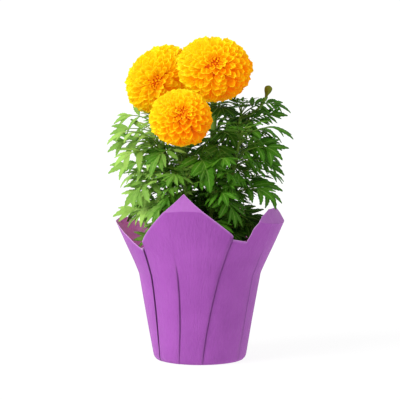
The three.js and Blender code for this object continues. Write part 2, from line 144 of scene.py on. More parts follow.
def coordinates(mesh):
    flat = np.empty(len(mesh.vertices) * 3)
    mesh.vertices.foreach_get("co", flat)
    return flat.reshape(-1, 3)


def moveVertices(mesh, points):
    mesh.vertices.foreach_set("co", np.asarray(points, float).ravel())
    mesh.update()


def setGrain(mesh, values, name="grain"):  # three numbers for each vertex, which materials read
    layer = mesh.attributes.new(name, "FLOAT_VECTOR", "POINT")
    layer.data.foreach_set("vector", np.asarray(values, float).ravel())


def dress(piece, materials, replaced, angle):
    chosen = [face.material_index for face in piece.data.polygons]  # clearing the list resets them
    piece.data.materials.clear()
    for material in materials:
        piece.data.materials.append(material)
    piece.data.polygons.foreach_set("material_index", chosen)
    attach(piece, "root")
    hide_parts(replaced)
    applyModifiers(piece)
    bpy.ops.object.shade_smooth_by_angle(angle=math.radians(angle))


def feed(made, socket, value):  # from another node's output, or a constant
    if isinstance(value, bpy.types.NodeSocket):
        made.id_data.links.new(value, made.inputs[socket])
    else:
        made.inputs[socket].default_value = value


def node(tree, kind, inputs, **settings):
    made = tree.nodes.new("ShaderNode" + kind)
    for key, value in settings.items():
        setattr(made, key, value)
    for socket, value in inputs.items():
        feed(made, socket, value)
    return made


def maths(tree, operation, *values):
    return node(tree, "Math", dict(enumerate(values)), operation=operation).outputs[0]


def plus(tree, first, second):
    return maths(tree, "ADD", first, second)


def times(tree, first, second):
    return maths(tree, "MULTIPLY", first, second)


def mixed(tree, share, first, second):
    return node(tree, "Mix", {0: share, 6: first, 7: second}, data_type="RGBA").outputs[2]


def cloud(tree, place, scale, detail=2.0, **inputs):
    settings = {"Vector": place, "Scale": scale, "Detail": detail, **inputs}
    return node(tree, "TexNoise", settings).outputs["Fac"]


def ramp(tree, value, stops):  # each stop a place and an sRGB colour, or a linear one with its alpha
    made = node(tree, "ValToRGB", {"Fac": value})
    elements = made.color_ramp.elements
    while len(elements) < len(stops):
        elements.new(0.5)
    for element, (place, colour) in zip(elements, stops):
        element.position = place
        element.color = colour if len(colour) == 4 else linear(*colour)
    return made.outputs["Color"]


def linear(red, green, blue):  # an sRGB colour, 0 to 255, as the shader wants it
    parts = [c / 255 for c in (red, green, blue)]
    return (*[c / 12.92 if c <= 0.04045 else ((c + 0.055) / 1.055) ** 2.4 for c in parts], 1.0)


def grainParts(tree, name="grain"):
    attribute = node(tree, "Attribute", {}, attribute_name=name)
    return node(tree, "SeparateXYZ", {0: attribute.outputs["Vector"]}).outputs


def objectPlace(tree):
    return node(tree, "TexCoord", {}).outputs["Object"]


def newMaterial(name, **sockets):
    material = bpy.data.materials.new(name)
    material.use_nodes = True
    shader = material.node_tree.nodes["Principled BSDF"]
    for key, value in sockets.items():
        shader.inputs[key.replace("_", " ")].default_value = value
    return material, material.node_tree, shader


def bumpOn(tree, shader, height, distance, strength=1.0):
    made = node(tree, "Bump", {"Height": height, "Distance": distance, "Strength": strength})
    feed(shader, "Normal", made.outputs["Normal"])


cover = {
    "baseRadius": 44.5,
    "baseDraw": 2.2,  # how far the foot of the wall is drawn in
    "edgeRound": 4.5,
    "bendHeight": 85,
    "bendRadius": 59.5,
    "pleatDepth": 0.9,
    "pleatReach": 125,
    "pleatSlant": 1.3,
    "opening": 25,  # height over which a pleat opens
    "sheet": 0.3,
    "tuck": 6.0,  # degrees that a pleat folds back under itself
    "groove": 1.1,  # how deep the lower panel dips beside a fold
    "grooveWidth": 1.0,  # degrees
    "edgeBand": 0.9,  # paler strip along the cut edge
    "step": 1.7,  # degrees between columns
    "sag": 0.35,  # how uneven the panels are
    "footRelief": 0.3,  # share of all relief that is left at the foot
    "footFade": 30,  # height over which it grows to the full relief
    "openStep": 0.06,  # share of the step that is left where a pleat has opened
    "baseSteps": [(0.97, 0.1), (0.9, 0.1), (0.45, 0.0)],  # how the base closes: share of its size, drop
    "dentWidth": 0.7,  # degrees
    "rows": [0.5, 1.3, 2.5, 4.5, 10, 18, 27, 36, 45, 54, 62, 69, 75, 79, 82, 84.2, 86.5, 90],
    "flareRows": 10,  # from above the bend to the crease
    "tipRows": 3,  # from the crease to the cut edge
    "smoothAngle": 32,
}
corners = [
    {"bearing": -14, "height": 167, "crease": 151, "flare": 11, "tipLean": 30},
    {"bearing": 80, "height": 149.6, "crease": 135, "flare": 24, "tipLean": 28},
    {"bearing": 168, "height": 160, "crease": 144, "flare": 15, "tipLean": 24},
    {"bearing": 261, "height": 143, "crease": 134, "flare": 25, "tipLean": 55},
]
# Beside a notch the next panel's edge starts higher, by "rise", at "jog" degrees from it.
notches = [
    {"bearing": 39, "height": 121, "jog": 2.6, "rise": 13},
    {"bearing": 124, "height": 118, "jog": 3.4, "rise": 8},
    {"bearing": 214, "height": 115, "jog": 3.4, "rise": 8},
    {"bearing": 305.8, "height": 111, "jog": 0.8, "rise": 8},
]
besideNotches = [
    {"bearing": notch["bearing"] + notch["jog"], "height": notch["height"] + notch["rise"]}
    for notch in notches
]
seamSteps = [{"bearing": 25.9, "height": 128}, {"bearing": 26.4, "height": 124}]  # the front panel's end
rightSwell = [  # keeps the edge straight to the eye
    {"bearing": 46, "height": 141.3},
    {"bearing": 50, "height": 144.6},
    {"bearing": 56, "height": 147.5},
    {"bearing": 62, "height": 149.8},
]
edgeStops = corners + notches + besideNotches + seamSteps + rightSwell
edgeBearings = [stop["bearing"] for stop in edgeStops]
edgeHeights = [stop["height"] for stop in edgeStops]
# Bearing at the top edge and at the base, how far it bows between them, which side lies on top,
# and the lowest and highest point and the depth of its groove.
pleats = [
    (26, 3, 0, -1, 8, 150, 0.8),
    (59, 55, 0, -1, 48, 118, 1.3),
    (103, 97, 2, 1, 0, 118, 1.0),
    (141, 146, -2, -1, 0, 100, 1.0),
    (188, 184, 0, 1, 0, 170, 1.0),
    (232, 229, 3, 1, 0, 90, 0.9),
    (283, 276, 0, 1, 0, 118, 0.8),
    (306, 300, 6, -1, 0, 150, 0.7),
    (336, 333, 5, -1, 0, 105, 0.45),
]
dents = [  # short soft creases in the paper: bearing, lowest and highest point, depth
    (28, 2, 30, 0.35),
    (317, 90, 112, 0.5),
    (70, 20, 66, 0.3),
    (212, 30, 80, 0.4),
    (158, 60, 112, 0.4),
]
# In each look, "crease" is the colour of painted shade along the folds.
paperLooks = {
    "coverOutside": {
        "lit": (163, 84, 176), "shade": (148, 73, 161), "crease": (78, 30, 92), "pale": (214, 160, 224),
        "letsThrough": 0.3,
    },
    "coverInside": {
        "lit": (248, 186, 212), "shade": (226, 162, 190), "crease": (160, 100, 130), "pale": (242, 206, 222),
        "letsThrough": 0.8,
    },
}


def cornerValue(bearing, key):
    nearness = [max(math.cos(math.radians(bearing - c["bearing"])), 0) ** 2 + 1e-6 for c in corners]
    return sum(near * c[key] for near, c in zip(nearness, corners)) / sum(nearness)


def edgeHeight(bearing):
    return np.interp(bearing, edgeBearings, edgeHeights, period=360)


def coverRadius(height, bearing):
    if height < cover["bendHeight"]:
        return lerp(cover["baseRadius"], cover["bendRadius"], height / cover["bendHeight"])
    crease = cornerValue(bearing, "crease")
    flare = math.tan(math.radians(cornerValue(bearing, "flare")))
    lean = math.tan(math.radians(cornerValue(bearing, "tipLean")))
    flared = min(height, crease) - cover["bendHeight"]
    return cover["bendRadius"] + flared * flare - max(height - crease, 0) * lean


def foldColumns(pleat):
    # A fold is a Z: the upper panel's edge, a layer turned back under it, the lower panel.
    top, base, bow, upper, low, high, depth = pleat
    wide = cover["grooveWidth"]
    # away from the fold on the upper panel's side, step, and share of the groove and of the shade
    across = [
        (1.2, 0.92, 0.0, 0.2),
        (0.0, 1.0, 0.0, 1.0),
        (cover["tuck"], 0.5, 0.5, 1.0),
        (-0.1, 0.0, 1.0, 1.0),
        (-0.45 * wide, 0.0, 0.75, 1.0),
        (-wide, 0.0, 0.0, 0.3),
    ]
    columns = [{
        "top": top,
        "base": base,
        "bow": bow,
        "away": upper * away,
        "tucked": away > 2,
        "step": step,
        "fold": fold * depth,
        "groove": groove * depth,
        "reach": (low, high),
    } for away, step, groove, fold in across]
    return columns if upper < 0 else columns[::-1]


def panelTops(first, last):
    # bearings across a panel, with one at each corner, notch and dent
    marks = edgeBearings + [dent[0] + away for dent in dents for away in (-0.8, 0, 0.8)]
    marks = sorted((mark - first) % 360 + first for mark in marks)
    stops = [first, *[mark for mark in marks if first + 0.5 < mark < last - 0.5], last]
    tops = []
    for a, b in zip(stops, stops[1:]):
        tops.extend(np.linspace(a, b, math.ceil((b - a) / cover["step"]), endpoint=False))
    return tops[1:]


def panelColumns(before, after, turn):
    # the panel between the last column of one fold and the first of the next
    first, last = before["top"] + before["away"], after["top"] + after["away"] + turn
    lowFirst, lowLast = before["base"] + before["away"], after["base"] + after["away"] + turn
    columns = []
    for top in panelTops(first, last):
        share = (top - first) / (last - first)
        near = min(top - first, last - top)
        columns.append({
            "top": top,
            "base": lerp(lowFirst, lowLast, share),
            "bow": lerp(before["bow"], after["bow"], share),
            "away": 0.0,
            "tucked": False,
            "step": lerp(before["step"], after["step"], share),
            # painted shade that fades out from each fold into the panel
            "fold": 0.25 * math.exp(-near / 1.2),
            "groove": 0.0,
            "reach": before["reach"] if share < 0.5 else after["reach"],
        })
    return columns


def coverColumns():
    folds = [foldColumns(pleat) for pleat in pleats]
    columns = []
    for fold, following in zip(folds, folds[1:] + folds[:1]):
        columns.extend(fold)
        columns.extend(panelColumns(fold[-1], following[0], 360 if following is folds[0] else 0))
    return columns


def rowHeight(column, row):
    # the rows are set up to the bend, then even to the crease, and even to the cut edge
    rows = cover["rows"]
    edge = edgeHeight(column["top"] + column["away"])
    if column["tucked"]:
        edge = min(edge, edgeHeight(column["top"])) - 1
    crease = min(cornerValue(column["top"], "crease"), edge - 2)
    aboveBend = row - len(rows) + 1
    aboveCrease = aboveBend - cover["flareRows"]
    if aboveBend <= 0:
        return rows[row]
    if aboveCrease <= 0:
        return lerp(rows[-1], crease, aboveBend / cover["flareRows"])
    if aboveCrease <= cover["tipRows"]:
        return lerp(crease, edge - cover["edgeBand"], aboveCrease / cover["tipRows"])
    return edge


def unevenness(bearing, height):  # broad sags, and narrow upright flutes
    x, y, _ = outward(bearing) * 2.3
    sag = noise.noise(Vector((x, -y, height * 0.012)))
    flute = noise.noise(Vector((bearing * 0.22, 7.0, height * 0.008)))
    return 1 + 0.6 * sag + 0.5 * flute


def dentDepth(bearing, height):
    total = 0
    for place, low, high, depth in dents:
        gap = (bearing - place + 180) % 360 - 180
        if abs(gap) < 3 and low < height < high:
            hollow = math.exp(-(gap / cover["dentWidth"]) ** 2)
            total += depth * hollow * math.sin(math.pi * (height - low) / (high - low))
    return total


def coverPoint(column, height):  # with how deep it lies in a fold's shade
    low, high = column["reach"]
    pressed = smooth((height - low) / cover["opening"] + 1)
    opened = smooth((high - height) / cover["opening"])
    fade = lerp(cover["footRelief"], 1, clamp((height - cover["edgeRound"]) / cover["footFade"]))
    climb = clamp(height / cover["pleatReach"])
    away = column["away"]
    if column["tucked"]:  # the hidden layer narrows to nothing at the base and where the pleat opens
        away = lerp(-0.03 * math.copysign(1, away), away, opened * smooth(height / 10))
    bow = 4 * column["bow"] * climb * (1 - climb)
    bearing = lerp(column["base"], column["top"], climb ** cover["pleatSlant"]) + bow + away
    step = lerp(0.5, column["step"], lerp(cover["openStep"], 1, opened))
    radius = coverRadius(height, bearing) + step * cover["pleatDepth"] * fade
    radius -= cover["baseDraw"] * clamp(1 - height / cover["edgeRound"]) ** 2
    radius -= cover["sag"] * unevenness(bearing, height) * fade
    radius -= cover["groove"] * column["groove"] * pressed * opened * fade
    radius -= dentDepth(column["top"], height)
    return polar(bearing, radius, height), column["fold"] * opened * lerp(0.3, 1, pressed)


def closeBase(piece):  # by drawing the lowest edge inwards
    mesh = piece.data
    bpy.ops.object.mode_set(mode="EDIT")
    bpy.ops.mesh.select_all(action="DESELECT")
    bpy.ops.object.mode_set(mode="OBJECT")
    lowest = cover["rows"][0] * mm + 1e-6
    for vertex in mesh.vertices:
        vertex.select = vertex.co.z < lowest
    for edge in mesh.edges:
        edge.select = all(mesh.vertices[i].co.z < lowest for i in edge.vertices)
    bpy.ops.object.mode_set(mode="EDIT")
    bpy.ops.mesh.select_mode(type="EDGE")
    for share, drop in cover["baseSteps"]:
        bpy.ops.mesh.extrude_edges_move(TRANSFORM_OT_translate={"value": (0, 0, -drop * mm)})
        bpy.ops.transform.resize(value=(share, share, 1), center_override=(0, 0, 0))
    bpy.ops.mesh.edge_face_add()
    bpy.ops.mesh.select_all(action="SELECT")
    bpy.ops.mesh.normals_make_consistent(inside=False)
    bpy.ops.object.mode_set(mode="OBJECT")


def modelCover():
    # a cylinder with a side for each column and a cut for each row, then every point set in its place
    columns = coverColumns()
    rowCount = len(cover["rows"]) + cover["flareRows"] + cover["tipRows"] + 1
    piece = cutCylinder(len(columns), 0.05, rowCount - 1, range(1, rowCount - 1))
    start = coordinates(piece.data)
    angles = np.degrees(np.arctan2(start[:, 1], start[:, 0]))
    angles -= angles[np.argmin(start[:, 2])]
    numbers = np.round(angles % 360 / (360 / len(columns))).astype(int) % len(columns)
    points = []
    grain = []
    rim = []
    for number, row in zip(numbers, np.round(start[:, 2]).astype(int)):
        column = columns[number]
        point, fold = coverPoint(column, rowHeight(column, row))
        points.append(point * mm)
        around = math.radians(column["top"] + column["away"]) * cover["bendRadius"]
        grain.append((around / 10, point[2] / 10, fold))  # in centimetres, and the fold's shade
        # the top row, and the rows from the crease up, whose paper gets painted light
        rim.append((float(row == rowCount - 1), float(row >= rowCount - cover["tipRows"] - 1), 0))
    moveVertices(piece.data, points)
    setGrain(piece.data, grain)
    setGrain(piece.data, rim, "rim")
    closeBase(piece)
    return piece


def coverPaper(name):
    look = paperLooks[name]
    crease, pale = linear(*look["crease"]), linear(*look["pale"])
    material, tree, shader = newMaterial(
        name, Roughness=0.8, Sheen_Weight=0.1, Sheen_Roughness=0.5, Specular_IOR_Level=0.2,
        Subsurface_Weight=look["letsThrough"], Subsurface_Scale=0.0012, Subsurface_Radius=(1.0, 0.6, 1.0))
    around, height, fold = grainParts(tree)
    upright = node(tree, "CombineXYZ", {0: times(tree, around, 9.0), 1: times(tree, height, 0.9)})
    fibres = cloud(tree, upright.outputs[0], 2.2, 5.0, Roughness=0.62)
    place = objectPlace(tree)
    clouded = cloud(tree, place, 38.0, 3.0)
    tone = plus(tree, times(tree, fibres, 0.55), times(tree, clouded, 0.45))
    colour = ramp(tree, tone, [(0.34, look["shade"]), (0.66, look["lit"])])
    # painted shade: the crease colour darkens the paper along the folds, where shade falls
    colour = mixed(tree, times(tree, fold, 0.5), colour, crease)
    # painted light: the tip above the crease is lightened towards the pale colour, as if lit from above; the
    # top row pales along the cut edge
    edge, turnedBack, _ = grainParts(tree, "rim")
    paintedTipLight = node(tree, "MapRange", {"Value": turnedBack, "From Min": 0.02, "From Max": 0.14}).outputs[0]
    colour = mixed(tree, times(tree, paintedTipLight, 0.16), colour, pale)
    colour = mixed(tree, times(tree, maths(tree, "POWER", edge, 1.5), 0.75), colour, pale)
    feed(shader, "Base Color", colour)
    crumpled = node(tree, "CombineXYZ", {0: times(tree, around, 2.2), 1: times(tree, height, 0.42)})
    wrinkles = cloud(tree, crumpled.outputs[0], 2.4, 4.0, Distortion=0.35)
    relief = plus(tree, times(tree, fibres, 0.22), wrinkles)
    relief = plus(tree, relief, times(tree, cloud(tree, place, 900.0), 0.06))
    bumpOn(tree, shader, relief, 0.001, 0.65)
    return material


def cutEdgePaper():
    material, tree, shader = newMaterial("coverCutEdge", Roughness=0.85)
    fibres = cloud(tree, objectPlace(tree), 500.0)
    feed(shader, "Base Color", ramp(tree, fibres, [(0.3, (206, 148, 220)), (0.7, (236, 200, 242))]))
    return material


def makeCover():
    piece = modelCover()
    piece.name = "coverPaper"
    solidify = piece.modifiers.new("sheet", "SOLIDIFY")
    solidify.thickness = cover["sheet"] * mm
    solidify.offset = -1
    solidify.material_offset = 1
    solidify.material_offset_rim = 2
    papers = [coverPaper("coverOutside"), coverPaper("coverInside"), cutEdgePaper()]
    dress(piece, papers, "pot_cover", cover["smoothAngle"])
    print("cover: paper sheet folded,", len(piece.data.polygons), "faces")


pot = {
    "floorHeight": 1.4,
    "baseRadius": 41.4,
    "rimRadius": 56.6,
    "rimHeight": 84,
    "rimLip": 5,
    "rimProud": 1.3,
    "wall": 1.1,
    "drainHoles": 5,
    "drainRadius": 3.2,
    "drainRing": 27,
    "sides": 72,
    "smoothAngle": 35,
}


def potPlastic():
    material, tree, shader = newMaterial("potPlastic", Specular_IOR_Level=0.45)
    place = objectPlace(tree)
    dust = cloud(tree, place, 60.0, 6.0)
    stops = [(0.35, (22, 22, 24)), (0.62, (34, 32, 31)), (0.8, (70, 60, 50))]
    feed(shader, "Base Color", ramp(tree, dust, stops))
    feed(shader, "Roughness", maths(tree, "MULTIPLY_ADD", dust, 0.35, 0.28))
    bumpOn(tree, shader, cloud(tree, place, 700.0), 0.0002)
    return material


def makePot():
    floor, rim, wall = pot["floorHeight"], pot["rimHeight"], pot["wall"]
    outer, foot = pot["rimRadius"], pot["baseRadius"]
    inner = outer - pot["rimProud"] - wall
    lip = rim - pot["rimLip"]
    profile = [
        (0, floor), (foot - 1.5, floor), (foot, floor + 1.5),  # underside
        (outer - pot["rimProud"], lip), (outer - 0.3, lip), (outer, lip + 0.3),  # wall and rolled rim
        (outer, rim - 0.8), (outer - 0.5, rim - 0.1), (outer - 1.2, rim),
        (inner + 0.4, rim - 0.2), (inner, rim - 0.9),
        (foot - wall, floor + wall + 1), (foot - wall - 1, floor + wall), (0, floor + wall),  # inside
    ]
    piece = spun("nurseryPot", profile, pot["sides"])
    for i in range(pot["drainHoles"]):
        place = polar(360 * i / pot["drainHoles"], pot["drainRing"], floor) * mm
        radius = pot["drainRadius"] * mm
        punch = primitive(bpy.ops.mesh.primitive_cylinder_add, vertices=16, radius=radius, depth=6 * mm,
                          location=place)
        cut = piece.modifiers.new("drain", "BOOLEAN")
        cut.operation = "DIFFERENCE"
        cut.object = punch
        applyModifiers(piece)
        bpy.data.objects.remove(punch)
    dress(piece, [potPlastic()], "nursery_pot", pot["smoothAngle"])
    print("pot: wall, rolled rim and drain holes")


def takeShape(piece, grainOf=lambda points: 0 * points[:, :2]):
    # the mesh of a modelled master, whose object is then removed, and two numbers for each vertex
    points = coordinates(piece.data)
    shape = {
        "points": points,
        "faces": [tuple(face.vertices) for face in piece.data.polygons],
        "slots": [face.material_index for face in piece.data.polygons],
        "grain": grainOf(points),
    }
    bpy.data.objects.remove(piece)
    return shape


class Cluster:  # copies of modelled shapes, gathered into one mesh
    def __init__(self):
        self.points = []
        self.grain = []
        self.faces = []
        self.slots = []
        self.count = 0

    def add(self, shape, points=None, tone=0.0, slot=None):
        points = shape["points"] if points is None else points
        self.points.append(points)
        self.grain.append(np.column_stack([shape["grain"], np.full(len(points), tone)]))
        base = self.count
        self.faces.extend(tuple(i + base for i in face) for face in shape["faces"])
        self.slots.extend(shape["slots"] if slot is None else [slot] * len(shape["faces"]))
        self.count += len(points)

    def asPiece(self, name):
        mesh = bpy.data.meshes.new(name)
        mesh.from_pydata((np.concatenate(self.points) * mm).tolist(), [], self.faces)
        mesh.polygons.foreach_set("material_index", self.slots)
        setGrain(mesh, np.concatenate(self.grain))
        return linked(name, mesh)


soil = {
    "base": 3.2,
    "edgeHeight": 73,
    "crown": 3,
    "rings": 22,
    "sides": 96,
    "crumbs": 420,
    "perlite": 70,
    "crumbSizes": (0.7, 1.9),
    "clods": 1.1,  # height of the broad clods and of the smaller lumps
    "lumps": 0.7,
    "crumbLumps": 0.22,  # how uneven a crumb is
    "crumbRise": 0.25,  # how much of a crumb's size its middle lies above the soil
    "smoothAngle": 50,
}
soilLooks = {  # dark and light colour, and how fine the grit is
    "dampPeat": ((30, 20, 14), (84, 60, 42), 160.0),
    "barkCrumbs": ((46, 30, 20), (112, 80, 54), 220.0),
    "perlite": ((206, 202, 192), (240, 238, 232), 400.0),
}


def innerPotRadius(height):
    inside = pot["floorHeight"] + pot["wall"]
    climb = (height - inside) / (pot["rimHeight"] - inside)
    return lerp(pot["baseRadius"], pot["rimRadius"] - pot["rimProud"], climb) - pot["wall"] - 0.4


def soilHeight(x, y):
    radius = math.hypot(x, y) / innerPotRadius(soil["edgeHeight"])
    crown = soil["crown"] * (1 - radius ** 2)
    clods = noise.noise(Vector((x * 0.09, y * 0.09, 1.0))) * soil["clods"]
    lumps = noise.noise(Vector((x * 0.3, y * 0.3, 5.0))) * soil["lumps"]
    return soil["edgeHeight"] + crown + (clods + lumps - 0.9) * smooth((1 - radius) * 6)


def pottingSoil(name, dark, light, scale):
    material, tree, shader = newMaterial(name, Roughness=0.95, Specular_IOR_Level=0.2)
    place = objectPlace(tree)
    grit = cloud(tree, place, scale, 8.0, Roughness=0.7)
    feed(shader, "Base Color", ramp(tree, grit, [(0.36, dark), (0.68, light)]))
    pores = node(tree, "TexVoronoi", {"Vector": place, "Scale": scale * 3}).outputs["Distance"]
    bumpOn(tree, shader, plus(tree, grit, times(tree, pores, 0.5)), 0.0012)
    return material


def scatterCrumbs(reach):
    crumb = takeShape(primitive(bpy.ops.mesh.primitive_ico_sphere_add, subdivisions=1, radius=1))
    grit = Cluster()
    for i in range(soil["crumbs"] + soil["perlite"]):
        white = i >= soil["crumbs"]
        radius = math.sqrt(0.5 + 0.5 * jitter(i, 31)) * reach
        angle = math.pi * jitter(i, 32)
        x, y = radius * math.cos(angle), radius * math.sin(angle)
        size = lerp(*soil["crumbSizes"], (0.5 + 0.5 * jitter(i, 33)) ** 2)
        stretch = np.array([1 + 0.4 * jitter(i, 34), 1 + 0.3 * jitter(i, 35), 0.75])
        lumps = [[1 + soil["crumbLumps"] * jitter(i * 12 + k, 36)] for k in range(len(crumb["points"]))]
        centre = np.array([x, y, soilHeight(x, y) + soil["crumbRise"] * size])
        grit.add(crumb, crumb["points"] * stretch * np.array(lumps) * size + centre, slot=1 + white)
    return grit.asPiece("soilCrumbs")


def makeSoil():
    edge = innerPotRadius(soil["edgeHeight"])
    top = [(edge * i / soil["rings"], soil["edgeHeight"]) for i in range(soil["rings"] + 1)]
    profile = top + [(innerPotRadius(soil["base"]), soil["base"]), (0, soil["base"])]
    piece = spun("pottingSoil", profile, soil["sides"])
    points = coordinates(piece.data) / mm
    for point in points:
        if point[2] > soil["edgeHeight"] - 1:
            point[2] = soilHeight(point[0], point[1])
    moveVertices(piece.data, points * mm)
    crumbs = scatterCrumbs(edge - 2.5)
    mixture = [pottingSoil(name, *look) for name, look in soilLooks.items()]
    for material in mixture:
        piece.data.materials.append(material)
        crumbs.data.materials.append(material)
    onlyActive(piece)
    crumbs.select_set(True)
    bpy.ops.object.join()
    dress(piece, mixture, "soil", soil["smoothAngle"])
    print("soil: surface, crumbs and perlite,", len(piece.data.polygons), "faces")


def smoothPath(points, count):
    # evenly spaced points on a centripetal Catmull-Rom curve, the solids' own kind
    p = [np.array(q, float) for q in points]
    p = [2 * p[0] - p[1], *p, 2 * p[-1] - p[-2]]
    fine = []
    for i in range(1, len(p) - 2):
        t0, t1, t2 = (math.sqrt(np.linalg.norm(p[k + 1] - p[k])) for k in (i - 1, i, i + 1))
        into = (p[i] - p[i - 1]) / t0 - (p[i + 1] - p[i - 1]) / (t0 + t1) + (p[i + 1] - p[i]) / t1
        out = (p[i + 1] - p[i]) / t1 - (p[i + 2] - p[i]) / (t1 + t2) + (p[i + 2] - p[i + 1]) / t2
        into, out = into * t1, out * t1
        for t in np.linspace(0, 1, 60, endpoint=i == len(p) - 3):
            cubic = 2 * p[i] - 2 * p[i + 1] + into + out
            square = 3 * p[i + 1] - 3 * p[i] - 2 * into - out
            fine.append(p[i] + into * t + square * t * t + cubic * t ** 3)
    fine = np.array(fine)
    along = np.concatenate([[0], np.cumsum(np.linalg.norm(np.diff(fine, axis=0), axis=1))])
    wanted = np.linspace(0, along[-1], count)
    return np.stack([np.interp(wanted, along, fine[:, k]) for k in range(3)], 1)


def rodShape(path, radii, sides, ribs=0.0):
    # a closed round rod along a path, with a rib on every other side
    tangents = np.gradient(path, axis=0)
    tangents /= np.linalg.norm(tangents, axis=1)[:, None]
    side = unit(np.cross(tangents[0], (0.31, 0.87, 0.12)))
    rings = []
    for point, tangent, radius in zip(path, tangents, radii):
        side = unit(side - tangent * side.dot(tangent))
        other = np.cross(tangent, side)
        for j in range(sides):
            angle = 2 * math.pi * j / sides
            spoke = side * math.cos(angle) + other * math.sin(angle)
            rings.append(point + spoke * radius * (1 + (ribs if j % 2 else 0)))
    count = len(path)
    last = (count - 1) * sides
    rings.extend([path[0] - tangents[0] * 0.2 * radii[0], path[-1] + tangents[-1] * 0.6 * radii[-1]])
    faces = []
    for j in range(sides):
        n = (j + 1) % sides
        faces.extend((k + j, k + n, k + sides + n, k + sides + j) for k in range(0, last, sides))
        faces.extend([(count * sides, n, j), (count * sides + 1, last + j, last + n)])
    along = np.concatenate([np.repeat(np.linspace(0, 1, count), sides), [0, 1]])
    ribbed = np.concatenate([np.tile(np.arange(sides) % 2, count), [0, 0]])
    grain = np.stack([along, ribbed], 1)
    return {"points": np.array(rings), "faces": faces, "slots": [0] * len(faces), "grain": grain}


stemLooks = {  # darker and lighter colour
    "stemGreen": ((64, 92, 24), (112, 150, 52)),
    "calyxGreen": ((40, 70, 16), (116, 152, 56)),
    "budGreen": ((78, 88, 2), (120, 124, 6)),
}


def stemSkin(name, low, high):
    material, tree, shader = newMaterial(
        name, Roughness=0.55, Specular_IOR_Level=0.2, Subsurface_Weight=0.08, Subsurface_Scale=0.002)
    along, ribbed, _ = grainParts(tree)
    drawnOut = node(tree, "Mapping", {"Vector": objectPlace(tree), "Scale": (900.0, 900.0, 60.0)})
    streaks = cloud(tree, drawnOut.outputs[0], 1.0, 3.0)
    value = plus(tree, times(tree, streaks, 0.4), times(tree, along, 0.35))
    value = plus(tree, value, times(tree, ribbed, 0.25))
    feed(shader, "Base Color", ramp(tree, value, [(0.15, low), (0.7, high)]))
    bumpOn(tree, shader, streaks, 0.0003)
    return material


leaflet = {
    "stations": 12,
    "width": 0.3,  # share of its length
    "thickness": 0.016,
    "teeth": 0.09,
    "toothSlant": 0.035,
    "fold": 0.1,  # how far its halves rise beside the midrib
    "droop": 0.1,
}


leafLooks = {  # dark, middle, light and rib colour, and roughness
    "leafTop": ((24, 59, 2), (60, 115, 14), (156, 197, 92), (158, 194, 98), 0.44),
    "leafUnder": ((44, 76, 14), (92, 134, 40), (156, 194, 96), (166, 198, 106), 0.55),
}


def leafletHalf(u):  # half width at u along a lanceolate leaflet
    return 0.5 * leaflet["width"] * 4.24 * u ** 0.98 * (1 - u) ** 1.12 + 0.006


def modelLeaflet():
    cuts = leaflet["stations"]
    piece = primitive(bpy.ops.mesh.primitive_grid_add, x_subdivisions=cuts, y_subdivisions=2,
                      size=1, location=(0.5, 0, 0))
    points = coordinates(piece.data)
    points[:, 0] -= points[:, 0].min()
    points[:, 0] /= points[:, 0].max()
    for point in points:
        u, v = point[0], 2 * point[1]
        station = round(u * cuts)
        inner = 0 < station < cuts
        tooth = leaflet["teeth"] * (1 if station % 2 else -1) if inner else 0
        half = leafletHalf(u) * (1 + tooth)
        point[0] = u + (leaflet["toothSlant"] * abs(v) if inner and station % 2 else 0)
        point[1] = v * half
        point[2] = leaflet["fold"] * abs(v) * half - leaflet["droop"] * u ** 2
    moveVertices(piece.data, points)
    for _ in range(2):  # the first slot for its upper side, the second for the under side
        piece.data.materials.append(None)
    thicken(piece, leaflet["thickness"], slots=1)

    def grainOf(p):
        across = np.array([clamp(y / leafletHalf(clamp(x)), -1, 1) for x, y, _ in p])
        return np.stack([p[:, 0], across], 1)

    return takeShape(piece, grainOf)


def leafTissue(name, dark, middle, light, rib, roughness):
    material, tree, shader = newMaterial(
        name, Specular_IOR_Level=0.09, Subsurface_Weight=0.12, Subsurface_Scale=0.002,
        Subsurface_Radius=(0.5, 1.0, 0.2))
    along, across, tone = grainParts(tree)
    place = objectPlace(tree)
    mottle = cloud(tree, place, 260.0, 4.0)
    patch = maths(tree, "MULTIPLY_ADD", cloud(tree, place, 26.0), 0.3, -0.26)
    value = plus(tree, maths(tree, "MULTIPLY_ADD", mottle, 0.22, patch), tone)
    colour = ramp(tree, value, [(0.05, dark), (0.5, middle), (0.95, light)])
    away = maths(tree, "ABSOLUTE", across)
    span = {"Value": away, "From Min": 0.03, "From Max": 0.2, "To Min": 1.0, "To Max": 0.0}
    midrib = node(tree, "MapRange", span, interpolation_type="SMOOTHSTEP").outputs[0]
    slanted = maths(tree, "SUBTRACT", times(tree, along, 58.0), times(tree, away, 9.0))
    veins = maths(tree, "POWER", maths(tree, "MULTIPLY_ADD", maths(tree, "SINE", slanted), 0.5, 0.5), 5.0)
    veins = times(tree, veins, maths(tree, "SUBTRACT", 1.0, away))
    lines = maths(tree, "MAXIMUM", times(tree, midrib, 0.27), times(tree, veins, 0.12))
    feed(shader, "Base Color", mixed(tree, lines, colour, linear(*rib)))
    feed(shader, "Roughness", maths(tree, "MULTIPLY_ADD", mottle, 0.25, roughness))
    bumpOn(tree, shader, maths(tree, "SUBTRACT", times(tree, mottle, 0.3), lines), 0.0003, 0.7)
    return material


